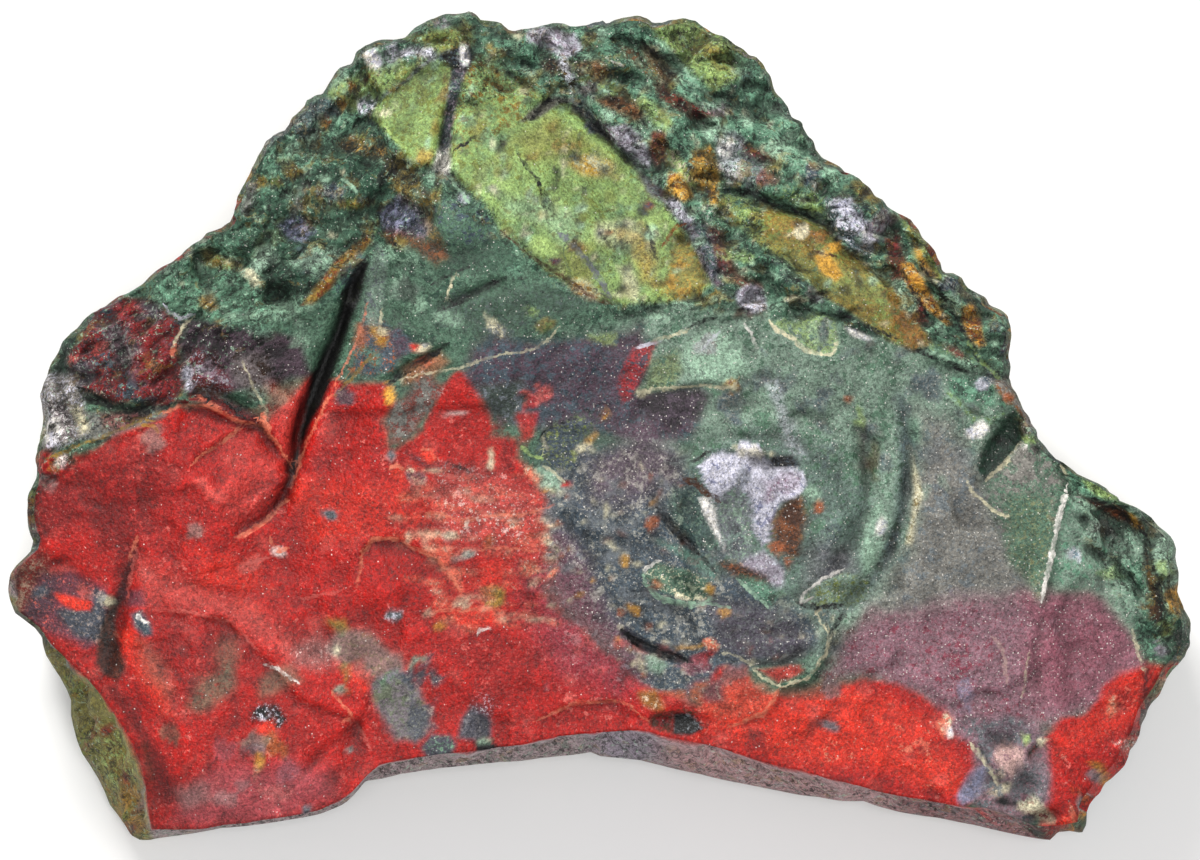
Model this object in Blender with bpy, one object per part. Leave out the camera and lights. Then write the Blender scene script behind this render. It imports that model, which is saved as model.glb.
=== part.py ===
"""A rough block of bloodstone, lying on its back.

The stone is one solid. Its upper side is a height over a drawing plane, which leans back
from the upright by a small tilt. The outline and the edges are drawn on that plane. Below
the outline the flanks drop to a girdle, and the belly curves under to a small flat rest.
"""

import itertools
import math

import bmesh
import bpy
import numpy as np

MM = 0.001

# Driving sizes
STONE_WIDTH = 150 * MM
PLANE_HEIGHT = 25 * MM
DRAWING_TILT = math.radians(13)
EYE_DISTANCE = 600 * MM
RIND_SLOPE = math.tan(math.radians(33))
TRIANGLE_SHARE = 0.116

# The drawing's own units: marks across the stone, and the place on it above the plane's middle
MARKS_ACROSS = 1182
MARK = STONE_WIDTH / MARKS_ACROSS
DRAWING_MIDDLE = (600, 430)
HEART = (560, 400)

# Fineness of the surface before it is thinned
COLUMNS = 168
ROWS = 120
FLANK_RINGS = 12
BELLY_RINGS = 26

# Where the upper side meets the flanks and the flanks turn under, clockwise from the left tip
OUTLINE = [
    (8, 590), (15, 567), (30, 552), (26, 518), (28, 492), (36, 460), (42, 420), (39, 395), (50, 363),
    (62, 342), (77, 329), (90, 312), (112, 301), (137, 285), (165, 265), (200, 240), (222, 228),
    (233, 212), (242, 185), (263, 146), (284, 129), (297, 111), (306, 99), (322, 94), (333, 74),
    (350, 62), (366, 44), (405, 35), (430, 20), (468, 9), (481, 20), (508, 27), (535, 26), (562, 23),
    (585, 26), (603, 19), (630, 15), (653, 22), (685, 18), (715, 31), (742, 48), (757, 54), (768, 71),
    (785, 105), (801, 119), (812, 142), (835, 164), (865, 182), (887, 206), (912, 219), (928, 241),
    (944, 270), (962, 277), (978, 294), (1000, 310), (1013, 333), (1010, 357), (1010, 378),
    (1021, 400), (1039, 438), (1058, 460), (1082, 476), (1108, 488), (1129, 504), (1152, 518),
    (1174, 539), (1180, 580), (1185, 610), (1192, 632), (1187, 655), (1172, 672), (1155, 702),
    (1143, 725), (1130, 753), (1113, 778), (1090, 805), (1082, 833), (1050, 840), (1000, 831),
    (940, 818), (877, 806), (819, 797), (760, 787), (700, 774), (640, 760), (591, 752), (540, 758),
    (480, 764), (420, 771), (365, 781), (352, 798), (320, 814), (262, 824), (201, 832), (150, 840),
    (131, 835), (104, 790), (82, 753), (73, 725), (67, 690), (43, 645), (22, 618),
]

# The front edge of the upper side, which the arched front wall and the left flank drop from
FRONT_EDGE = [
    (10, 604), (31, 620), (53, 646), (88, 679), (119, 720), (141, 763), (148, 806), (154, 829),
    (201, 829), (262, 820), (320, 810), (349, 795), (368, 764), (400, 760), (460, 752), (520, 745),
    (560, 736), (600, 732), (649, 731), (700, 743), (760, 761), (820, 776), (880, 792), (940, 803),
    (984, 807), (1020, 820), (1054, 826), (1078, 822),
]
# Elsewhere the upper side ends at this share of the outline's reach
EDGE_INSET = 0.985
# How far inside the outline the front edge stays, in drawing marks
FRONT_GAP = 4

# The girdle's depth under the drawing plane, by the angle round the heart in degrees
GIRDLE = [
    (-42, -8.0), (-23, -8.0), (0, -7.0), (23, -6.0), (50, -13.0), (90, -17.0), (132, -12.0),
    (168, -9.0), (199, -8.0), (213, -9.0), (227, -9.0), (243, -6.0), (276, -7.0), (305, -6.0),
]

# The edge between the fresh break and the weathered rind, from the left tip over the top
BREAK_EDGE = [
    (8, 590), (36, 485), (90, 440), (160, 410), (205, 382), (262, 330), (330, 268), (400, 246),
    (440, 192), (500, 232), (560, 278), (620, 306), (700, 301), (760, 306), (835, 312), (930, 350),
    (1010, 378), (1030, 430), (1072, 484), (1100, 550), (1135, 610), (1186, 664),
]
BEYOND_THE_FRONT = [(1400, 700), (1400, 1100), (-200, 1100), (-200, 600)]

# Smooth flats in the rind
FLATS = [
    [(450, 110), (520, 90), (575, 108), (640, 170), (680, 225), (712, 285), (660, 300), (600, 300),
     (545, 270), (490, 215), (465, 190), (445, 165)],
    [(365, 115), (395, 85), (430, 60), (455, 70), (442, 140), (415, 165), (375, 120)],
    [(760, 203), (828, 228), (880, 275), (935, 345), (890, 340), (835, 305), (790, 262), (760, 240)],
]

# Ledges: the line of each, the rise of the side on the walker's right in mm, and its reach
LEDGES = [
    ([(180, 403), (210, 408), (235, 420), (262, 425), (280, 450), (295, 470)], -2.6, 60),
    ([(290, 490), (270, 520), (235, 537)], -1.1, 50),
    ([(190, 465), (220, 440), (240, 428)], -0.8, 40),
    ([(637, 392), (668, 389), (709, 381), (733, 389), (739, 375)], -0.9, 50),
    ([(821, 619), (831, 638), (813, 677), (780, 690), (769, 710), (728, 727)], 1.0, 60),
    ([(533, 720), (572, 704), (613, 700), (646, 720)], -0.7, 40),
    ([(356, 583), (362, 551), (373, 540), (400, 540), (438, 559), (462, 592)], -1.0, 50),
    ([(645, 575), (660, 595), (680, 603), (705, 600)], -0.7, 30),
    ([(775, 325), (800, 340), (815, 352), (833, 353), (835, 335)], 0.7, 30),
    ([(1067, 487), (1058, 520), (1050, 565), (1041, 605), (1020, 700)], 0.9, 50),
    ([(150, 610), (225, 620), (270, 660), (300, 700), (360, 720), (370, 750)], -0.9, 90),
    ([(700, 455), (725, 448), (765, 455), (782, 480)], -1.0, 40),
    ([(960, 403), (990, 420), (1010, 440)], -0.8, 40),
    ([(505, 230), (540, 265), (580, 290), (620, 305)], 1.3, 60),
]

# Grooves: the line of each, its half width in drawing marks and its depth in mm
GROOVES = [
    ([(365, 262), (345, 300), (320, 375), (310, 400), (300, 430), (292, 475), (275, 530)], 10, 3.0),
    ([(505, 280), (480, 290), (435, 310)], 6, 1.6),
    ([(380, 386), (416, 362), (448, 345)], 6, 1.6),
    ([(657, 512), (676, 531), (698, 553)], 6, 1.6),
    ([(621, 630), (640, 644), (668, 655), (692, 662)], 6, 2.2),
    ([(80, 390), (125, 412), (175, 402)], 7, 1.8),
    ([(190, 392), (215, 392), (240, 408), (262, 423)], 9, 1.8),
    ([(905, 400), (912, 450), (903, 512), (890, 553), (862, 589), (835, 622)], 7, 0.8),
    ([(846, 400), (866, 440), (868, 500), (855, 545), (830, 580)], 9, 0.9),
    ([(740, 192), (770, 203), (800, 212), (828, 225), (845, 250), (870, 258)], 7, 2.2),
    ([(528, 120), (553, 98), (585, 115), (640, 170), (668, 200), (700, 260)], 7, 1.6),
    ([(455, 65), (462, 90), (450, 110), (440, 165), (435, 185)], 6, 1.3),
    ([(985, 730), (1010, 745), (1030, 790), (1020, 815)], 8, 1.6),
]

# Hollows and lumps: middle, half length, half width, turn in degrees and height in mm
SWELLS = [
    ((248, 478), 66, 54, 20, 1.0),
    ((408, 572), 52, 36, 15, 0.9),
    ((730, 470), 36, 22, -20, 0.9),
    ((245, 730), 130, 95, -30, 1.8),
    ((320, 400), 190, 55, 70, -2.4),
    ((116, 618), 62, 12, 78, -1.1),
    ((1001, 445), 38, 15, 60, -1.7),
    ((745, 500), 46, 42, 0, -1.2),
    ((750, 520), 190, 150, 20, 1.6),
    ((560, 430), 120, 60, 15, -1.2),
    ((835, 595), 34, 12, 5, -1.0),
    ((675, 721), 30, 9, 0, -0.8),
    ((1008, 762), 20, 16, 0, 1.6),
    ((1040, 818), 22, 9, 10, -1.5),
    ((950, 284), 17, 15, 0, 3.0),
    ((300, 228), 22, 16, 0, -2.2),
    ((405, 218), 24, 20, 0, -2.4),
    ((350, 180), 36, 24, -30, 2.2),
    ((465, 218), 32, 22, 40, 1.6),
    ((930, 570), 120, 150, 10, -1.4),
    ((660, 110), 60, 34, 30, 2.4),
    ((735, 95), 40, 46, 20, -2.2),
    ((860, 215), 34, 22, 30, 2.4),
]

# The fresh break: its height over the plane, its rise up the drawing, and how its tips sag, each by
# mm, from where it starts and over how many marks
BREAK_HEIGHT = 13 * MM
BREAK_RISE = 0.045
TIP_SAGS = [(5.0, 210, -200), (3.0, 1050, 140)]
SAG_POWER = 1.4

# The rind: how much of its full slope the left end has and where that grows to all of it, the
# rounding of the edge it falls from, and the borders over which its roughness and its flats set in
LEFT_STEEPNESS = 0.72
STEEPENS = (200, 460)
EDGE_ROUNDING = 7
ROUGH_BORDER = (-30, 12)
FLAT_BORDER = (-6, 14)
FLAT_CALM = 0.85

# Broken flats: height and size in mm, and which set of draws
RIND_FLATS = [(2.9, 8.0, 11), (1.4, 3.6, 12)]
FLANK_FLATS = [(1.2, 9.0, 31), (0.64, 4.0, 32)]
BELLY_FLATS = [(4.0, 13.0, 41), (1.6, 5.0, 42)]

# Soft sway of the upper side: its height on the break, what the rind adds, its size and its draws
SWAY_ON_BREAK = 0.45 * MM
SWAY_ON_RIND = 0.5 * MM
SWAY_SIZE = 14 * MM
SWAY_LAYERS = 3
SWAY_SEED = 21
NOISE_GAIN = 1.6

# The power that the flank falls by
FLANK_POWER = 1.15

# The belly's middle, how far in from the girdle it touches down, how much of its curve is a quarter
# circle and the power of the rest, how far under the ground it is drawn before the rest is cut, and
# the share and the height over which its roughness sets in and dies out
BELLY_MIDDLE = (2 * MM, 3 * MM)
REST_STARTS = 0.72
WALL_SHARE = 0.5
SINK_POWER = 1.5
REST_CUT = 0.8 * MM
ROUGH_FROM = 0.08
CALM_HEIGHT = 9 * MM

# Half the width of a ledge's face, in drawing marks
LEDGE_FACE = 4

# Rings of the shell-like break: middle, spacing, flattening, height, where a crest starts on the
# wave, and the band that they fade in and out over
RING_MIDDLE = (750, 520)
RING_SPACING = 33
RING_FLATTENING = 1.15
RING_HEIGHT = 0.35 * MM
RING_CREST = 0.6
RINGS_FADE_IN = (30, 70)
RINGS_FADE_OUT = (150, 190)

STONE_COLOUR = (0.23, 0.10, 0.08, 1)
STONE_ROUGHNESS = 0.5


def lattice_draws(cells, seed, count):
    """Repeatable numbers from 0 to 1 for each whole-numbered cell."""
    whole = cells.astype(np.int64)
    key = whole[:, 0] * 73856093 ^ whole[:, 1] * 19349663 ^ whole[:, 2] * 83492791 ^ (seed * 40503 + 977)
    draws = []
    for _ in range(count):
        key = (key * 1103515245 + 12345) & 0x7FFFFFFF
        key = key ^ (key >> 11)
        draws.append((key & 0xFFFF) / 65535.0)
    return np.stack(draws, axis=1)


def soft_noise(points, size, seed):
    """Gradient noise from about -1 to 1: each lattice corner slopes its own way, faded together."""
    place = points / size
    base = np.floor(place)
    inside = place - base
    fade = inside * inside * (3 - 2 * inside)
    total = np.zeros(len(points))
    for corner in itertools.product((0, 1), repeat=3):
        slope = lattice_draws(base + corner, seed, 3) * 2 - 1
        weight = np.prod(np.where(corner, fade, 1 - fade), axis=1)
        total += weight * np.sum(slope * (inside - corner), axis=1)
    return total * NOISE_GAIN


def layered_noise(points, size, layers, seed):
    """Soft noise added up over sizes that halve, each half as strong."""
    total = np.zeros(len(points))
    for layer in range(layers):
        total += soft_noise(points, size / 2**layer, seed + layer) / 2**layer
    return total


def broken_flats(points, size, seed, seam=9.0):
    """Flats as rock breaks: every lattice cell tilts its own way, and neighbours blend over a seam."""
    place = points / size
    base = np.floor(place)
    weights = np.zeros(len(points))
    heights = np.zeros(len(points))
    for step in itertools.product((-1, 0, 1), repeat=3):
        cell = base + step
        draws = lattice_draws(cell, seed, 7)
        away = place - cell - draws[:, :3]
        weight = np.exp(-seam * np.sum(away * away, axis=1))
        tilt = np.sum(away * (draws[:, 3:6] * 2 - 1), axis=1)
        weights += weight
        heights += weight * (tilt + draws[:, 6] - 0.5)
    return heights / np.maximum(weights, 1e-12)


def rough_height(points, layers):
    """Broken flats of several sizes added up, in metres."""
    return sum(height * MM * broken_flats(points, size * MM, seed) for height, size, seed in layers)


def ramp(value, start, end):
    """0 before start, 1 after end, smooth between them."""
    share = np.clip((value - start) / (end - start), 0, 1)
    return share * share * (3 - 2 * share)


def near_line(x, y, line):
    """Distance to a line of points, the side (1 on the walker's right) and the share walked."""
    best = np.full(len(x), np.inf)
    side = np.zeros(len(x))
    walked = np.zeros(len(x))
    for leg, (start, end) in enumerate(zip(line[:-1], line[1:])):
        run = (end[0] - start[0], end[1] - start[1])
        square = run[0] ** 2 + run[1] ** 2
        share = np.clip(((x - start[0]) * run[0] + (y - start[1]) * run[1]) / square, 0, 1)
        gap_x = x - start[0] - share * run[0]
        gap_y = y - start[1] - share * run[1]
        gap = np.hypot(gap_x, gap_y)
        closer = gap < best
        best = np.where(closer, gap, best)
        turn = np.sign(run[0] * (y - start[1]) - run[1] * (x - start[0]))
        side = np.where(closer, turn, side)
        walked = np.where(closer, (leg + share) / (len(line) - 1), walked)
    return best, side, walked


def is_inside(x, y, loop):
    """True where a place lies inside a closed loop, by counting the edges to its right."""
    inside = np.zeros(len(x), bool)
    for start, end in zip(loop, loop[1:] + loop[:1]):
        spans = (start[1] > y) != (end[1] > y)
        rise = end[1] - start[1]
        crossing = start[0] + (y - start[1]) * (end[0] - start[0]) / (rise if rise else 1)
        inside ^= spans & (x < crossing)
    return inside


def depth_inside(x, y, loop):
    """Distance to a closed loop, positive inside it and negative outside."""
    gap, _, _ = near_line(x, y, loop + loop[:1])
    return np.where(is_inside(x, y, loop), gap, -gap)


def loop_radius(loop, angle):
    """Distance from the heart to a drawn loop, at each angle."""
    places = np.array(loop, float) - HEART
    bearings = np.arctan2(-places[:, 1], places[:, 0])
    order = np.argsort(bearings)
    reach = np.hypot(places[:, 0], places[:, 1])
    return np.interp(angle, bearings[order], reach[order], period=2 * math.pi)


def edge_radius(angle):
    """Distance from the heart to where the upper side ends: the drawn front edge, or a set inset."""
    reach = loop_radius(OUTLINE, angle) * EDGE_INSET
    places = np.array(FRONT_EDGE, float) - HEART
    bearings = np.arctan2(-places[:, 1], places[:, 0]) % (2 * math.pi)
    order = np.argsort(bearings)
    drawn = np.interp(angle % (2 * math.pi), bearings[order], np.hypot(*places[order].T))
    across = angle % (2 * math.pi)
    in_front = (across >= bearings.min()) & (across <= bearings.max())
    return np.where(in_front, np.minimum(drawn, loop_radius(OUTLINE, angle) - FRONT_GAP), reach)


def girdle_depth(angle):
    """Height of the girdle over the drawing plane, at each angle."""
    bearings, depths = np.array(GIRDLE, float).T
    return np.interp(np.degrees(angle), bearings, depths, period=360) * MM


def ledges(x, y):
    """The height that the ledges add: each lifts one side of its line, less with distance."""
    total = np.zeros(len(x))
    for line, rise, reach in LEDGES:
        gap, side, walked = near_line(x, y, line)
        taper = np.sqrt(np.clip(np.sin(math.pi * walked), 0, 1))
        lift = ramp(gap * side, -LEDGE_FACE, LEDGE_FACE) * np.exp(-gap / reach)
        total += rise * MM * lift * taper
    return total


def grooves(x, y):
    """The depth that the grooves take away: a soft notch along each line, shallow at its ends."""
    total = np.zeros(len(x))
    for line, half_width, depth in GROOVES:
        gap, _, walked = near_line(x, y, line)
        taper = np.sqrt(np.clip(np.sin(math.pi * walked), 0, 1))
        total -= depth * MM * np.exp(-((gap / half_width) ** 2)) * taper
    return total


def swells(x, y):
    """The height that hollows and lumps add: a soft oval bump or dip each."""
    total = np.zeros(len(x))
    for (middle_x, middle_y), half_length, half_width, turn, height in SWELLS:
        cos_turn, sin_turn = math.cos(math.radians(turn)), math.sin(math.radians(turn))
        along = ((x - middle_x) * cos_turn - (y - middle_y) * sin_turn) / half_length
        across = ((x - middle_x) * sin_turn + (y - middle_y) * cos_turn) / half_width
        total += height * MM * np.exp(-((along**2 + across**2) ** 1.5))
    return total


def rings(x, y):
    """Rings of a shell-like break round its middle, deepest to the right of it."""
    away = np.hypot((x - RING_MIDDLE[0]), (y - RING_MIDDLE[1]) * RING_FLATTENING)
    wave = np.abs(np.sin(math.pi * away / RING_SPACING))
    reach = ramp(away, *RINGS_FADE_IN) * (1 - ramp(away, *RINGS_FADE_OUT))
    return (wave - RING_CREST) * RING_HEIGHT * reach


def upper_height(x, y):
    """Height of the upper side over the drawing plane, in metres.

    A nearly flat break, a rind that slopes away behind the break's edge, and on them the
    hollows, ledges, grooves and broken flats.
    """
    fresh = BREAK_HEIGHT + (DRAWING_MIDDLE[1] - y) * MARK * BREAK_RISE
    for sag, start, span in TIP_SAGS:
        fresh -= sag * MM * np.clip((x - start) / span, 0, 1) ** SAG_POWER
    away, _, _ = near_line(x, y, BREAK_EDGE)
    on_rind = ~is_inside(x, y, BREAK_EDGE + BEYOND_THE_FRONT)
    beyond = np.where(on_rind, away, -away)
    steepness = RIND_SLOPE * (LEFT_STEEPNESS + (1 - LEFT_STEEPNESS) * ramp(x, *STEEPENS))
    over_edge = np.logaddexp(0, beyond / EDGE_ROUNDING) * EDGE_ROUNDING * MARK
    height = fresh - steepness * over_edge
    height += swells(x, y) + ledges(x, y) + grooves(x, y) + rings(x, y)

    flat = np.zeros(len(x))
    for loop in FLATS:
        flat = np.maximum(flat, ramp(depth_inside(x, y, loop), *FLAT_BORDER))
    rough = ramp(beyond, *ROUGH_BORDER) * (1 - FLAT_CALM * flat)
    places = np.stack([x * MARK, y * MARK, height / 2], axis=1)
    height += rough * rough_height(places, RIND_FLATS)
    sway = layered_noise(places, SWAY_SIZE, SWAY_LAYERS, SWAY_SEED)
    return height + (SWAY_ON_BREAK + SWAY_ON_RIND * rough) * sway


def to_world(x, y, height):
    """World points of drawing places: what stands higher is nearer the eye, so it is drawn larger."""
    shrink = 1 - height / EYE_DISTANCE
    across = (x - DRAWING_MIDDLE[0]) * MARK * shrink
    up = (DRAWING_MIDDLE[1] - y) * MARK * shrink
    cos_tilt, sin_tilt = math.cos(DRAWING_TILT), math.sin(DRAWING_TILT)
    back = up * cos_tilt - height * sin_tilt
    return np.stack([across, back, up * sin_tilt + height * cos_tilt + PLANE_HEIGHT], axis=-1)


def upper_side():
    """Points of the upper side, as rows: a rectangle stretched radially until its rim is the edge."""
    across, up = np.meshgrid(np.linspace(-1, 1, COLUMNS + 1), np.linspace(-1, 1, ROWS + 1))
    share = np.maximum(np.abs(across), np.abs(up)).ravel()
    angle = np.arctan2(up.ravel() * ROWS / COLUMNS, across.ravel())
    reach = edge_radius(angle) * share
    x = HEART[0] + reach * np.cos(angle)
    y = HEART[1] - reach * np.sin(angle)
    return to_world(x, y, upper_height(x, y))


def rim_indices():
    """Places of the rim in the rectangle's rows, once round, counter-clockwise from a corner."""
    index = np.arange((ROWS + 1) * (COLUMNS + 1)).reshape(ROWS + 1, COLUMNS + 1)
    sides = (index[0, :-1], index[:-1, -1], index[-1, :0:-1], index[:0:-1, 0])
    return np.concatenate(sides)


def flank_rings(angle):
    """Rings from under the upper side's edge down to the girdle, roughened between the two."""
    edge, outline = edge_radius(angle), loop_radius(OUTLINE, angle)
    x = HEART[0] + edge * np.cos(angle)
    y = HEART[1] - edge * np.sin(angle)
    top, low = upper_height(x, y), girdle_depth(angle)
    made = []
    for ring in range(1, FLANK_RINGS + 1):
        share = ring / FLANK_RINGS
        reach = edge + (outline - edge) * math.sin(share * math.pi / 2)
        height = top + (low - top) * share**FLANK_POWER
        places = np.stack([reach * np.cos(angle), reach * np.sin(angle), height / MARK], axis=1) * MARK
        reach = reach + rough_height(places, FLANK_FLATS) / MARK * math.sin(share * math.pi)
        reach = np.minimum(reach, outline)
        made.append(to_world(HEART[0] + reach * np.cos(angle), HEART[1] - reach * np.sin(angle), height))
    return made


def belly_rings(girdle):
    """Rings from the girdle to the belly's middle: they close in while they sink to just below rest."""
    middle = np.array([*BELLY_MIDDLE, 0])
    made = []
    for ring in range(1, BELLY_RINGS):
        share = ring / BELLY_RINGS
        left = 1 - min(share / REST_STARTS, 1)
        sunk = 1 - WALL_SHARE * (1 - math.sqrt(1 - left**2)) - (1 - WALL_SHARE) * left**SINK_POWER
        points = girdle + (middle - girdle) * share
        points[:, 2] = girdle[:, 2] * (1 - sunk) - REST_CUT * sunk
        rough = ramp(share, 0, ROUGH_FROM) * ramp(points[:, 2], -REST_CUT, CALM_HEIGHT)
        points[:, 2] += rough_height(points, BELLY_FLATS) * rough
        made.append(points)
    return made, np.array([[middle[0], middle[1], -REST_CUT]])


def stone_surface():
    """All points of the stone and the faces that close them."""
    upper = upper_side()
    rim = rim_indices()
    offsets = np.stack(np.unravel_index(rim, (ROWS + 1, COLUMNS + 1)), axis=1)
    up = (offsets[:, 0] / ROWS * 2 - 1) * ROWS / COLUMNS
    across = offsets[:, 1] / COLUMNS * 2 - 1
    rings_down = flank_rings(np.arctan2(up, across))
    belly, middle = belly_rings(rings_down[-1])
    points = np.concatenate([upper, *rings_down, *belly, middle])

    first = (np.arange(ROWS)[:, None] * (COLUMNS + 1) + np.arange(COLUMNS)).ravel()
    faces = [np.stack([first, first + 1, first + COLUMNS + 2, first + COLUMNS + 1], axis=1)]
    here = rim
    for ring in range(FLANK_RINGS + BELLY_RINGS - 1):
        below = len(upper) + ring * len(rim) + np.arange(len(rim))
        faces.append(np.stack([here, below, np.roll(below, -1), np.roll(here, -1)], axis=1))
        here = below
    centre = len(points) - 1
    closing = [(int(a), centre, int(b)) for a, b in zip(here, np.roll(here, -1))]
    return points, np.concatenate(faces).tolist() + closing


def finish_of_stone():
    """The stone's finish: dull red and green, waxy where it broke."""
    finish = bpy.data.materials.new("bloodstone")
    finish.use_nodes = True
    shader = finish.node_tree.nodes["Principled BSDF"]
    shader.inputs["Base Color"].default_value = STONE_COLOUR
    shader.inputs["Roughness"].default_value = STONE_ROUGHNESS
    shader.inputs["Metallic"].default_value = 0
    return finish


def thinned(mesh):
    """The mesh with far fewer triangles, kept where the surface turns most."""
    helper = bpy.data.objects.new("thinning", mesh)
    bpy.context.scene.collection.objects.link(helper)
    modifier = helper.modifiers.new("thin", "DECIMATE")
    modifier.ratio = TRIANGLE_SHARE
    graph = bpy.context.evaluated_depsgraph_get()
    result = bpy.data.meshes.new_from_object(helper.evaluated_get(graph))
    bpy.data.objects.remove(helper)
    return result


def cut_to_rest(mesh):
    """Cuts away what lies below the rest's plane and closes the cut with one flat face."""
    form = bmesh.new()
    form.from_mesh(mesh)
    everything = form.verts[:] + form.edges[:] + form.faces[:]
    cut = bmesh.ops.bisect_plane(
        form, geom=everything, plane_co=(0, 0, 0), plane_no=(0, 0, 1), clear_inner=True
    )
    rim = [item for item in cut["geom_cut"] if isinstance(item, bmesh.types.BMEdge)]
    for edge in rim:
        for corner in edge.verts:
            corner.co.z = 0
    bmesh.ops.contextual_create(form, geom=rim)
    bmesh.ops.triangulate(form, faces=form.faces[:])
    bmesh.ops.recalc_face_normals(form, faces=form.faces[:])
    form.to_mesh(mesh)
    form.free()


def centre_on_origin(mesh):
    """Moves the middle of the plan to the origin."""
    places = np.array([vertex.co[:] for vertex in mesh.vertices])
    middle = (places.min(axis=0) + places.max(axis=0)) / 2
    mesh.vertices.foreach_set("co", (places - [middle[0], middle[1], 0]).ravel())


def build_stone():
    """Makes the stone as one closed solid, at its real size."""
    points, faces = stone_surface()
    mesh = bpy.data.meshes.new("bloodstone_fine")
    mesh.from_pydata(points, [], faces)
    mesh = thinned(mesh)
    cut_to_rest(mesh)
    centre_on_origin(mesh)
    mesh.name = "bloodstone"
    mesh.materials.append(finish_of_stone())
    stone = bpy.data.objects.new("bloodstone", mesh)
    bpy.context.scene.collection.objects.link(stone)
    mesh.shade_flat()
    return stone


def main():
    """Clears the scene and builds the stone."""
    for old in list(bpy.data.objects):
        bpy.data.objects.remove(old)
    build_stone()


main()
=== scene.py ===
"""The dressed bloodstone: its surface, its colours and the studio it is shown in.

The stone's upper side is a height over a drawing plane, and its colours are brushed on the same
drawing, mark by mark. Places on the drawing are in marks: 1182 marks are the stone's width.
Drawn lines and loops are written as a start and the steps from point to point.
"""

from __future__ import annotations

import itertools
import logging
import math
import textwrap
from collections.abc import Iterator
from dataclasses import dataclass, field
from enum import Enum

import bpy
import numpy as np
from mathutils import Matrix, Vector


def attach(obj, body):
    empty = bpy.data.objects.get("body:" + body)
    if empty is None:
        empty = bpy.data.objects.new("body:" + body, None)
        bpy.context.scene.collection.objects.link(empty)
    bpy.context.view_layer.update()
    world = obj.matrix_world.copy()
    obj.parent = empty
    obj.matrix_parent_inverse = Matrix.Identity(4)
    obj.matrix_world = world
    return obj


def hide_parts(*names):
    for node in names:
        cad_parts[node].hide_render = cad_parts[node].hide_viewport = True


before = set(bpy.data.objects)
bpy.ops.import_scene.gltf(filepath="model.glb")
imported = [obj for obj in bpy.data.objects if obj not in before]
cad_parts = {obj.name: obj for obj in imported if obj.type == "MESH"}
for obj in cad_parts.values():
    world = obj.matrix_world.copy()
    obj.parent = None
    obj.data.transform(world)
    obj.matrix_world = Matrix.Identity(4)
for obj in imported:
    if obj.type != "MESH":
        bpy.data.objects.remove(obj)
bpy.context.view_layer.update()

log = logging.getLogger("bloodstone")

MM = 0.001
Span = tuple[float, float]
Array = np.ndarray
Socket = bpy.types.NodeSocket
Place = tuple[float, float]
Line = list[Place]


def numbers(text: str) -> list[list[float]]:
    """Reads groups of numbers: commas inside a group, blanks between groups."""
    return [[float(number) for number in part.split(",")] for part in text.split()]


def walk(steps: list[list[float]]) -> Line:
    """The points that a start and the steps from point to point lead to."""
    return [(float(x), float(y)) for x, y in np.cumsum(steps, axis=0)]


def path(text: str) -> Line:
    """Reads a drawn line or loop: the x,y of its start, then the step to each next point."""
    return walk(numbers(text))


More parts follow.
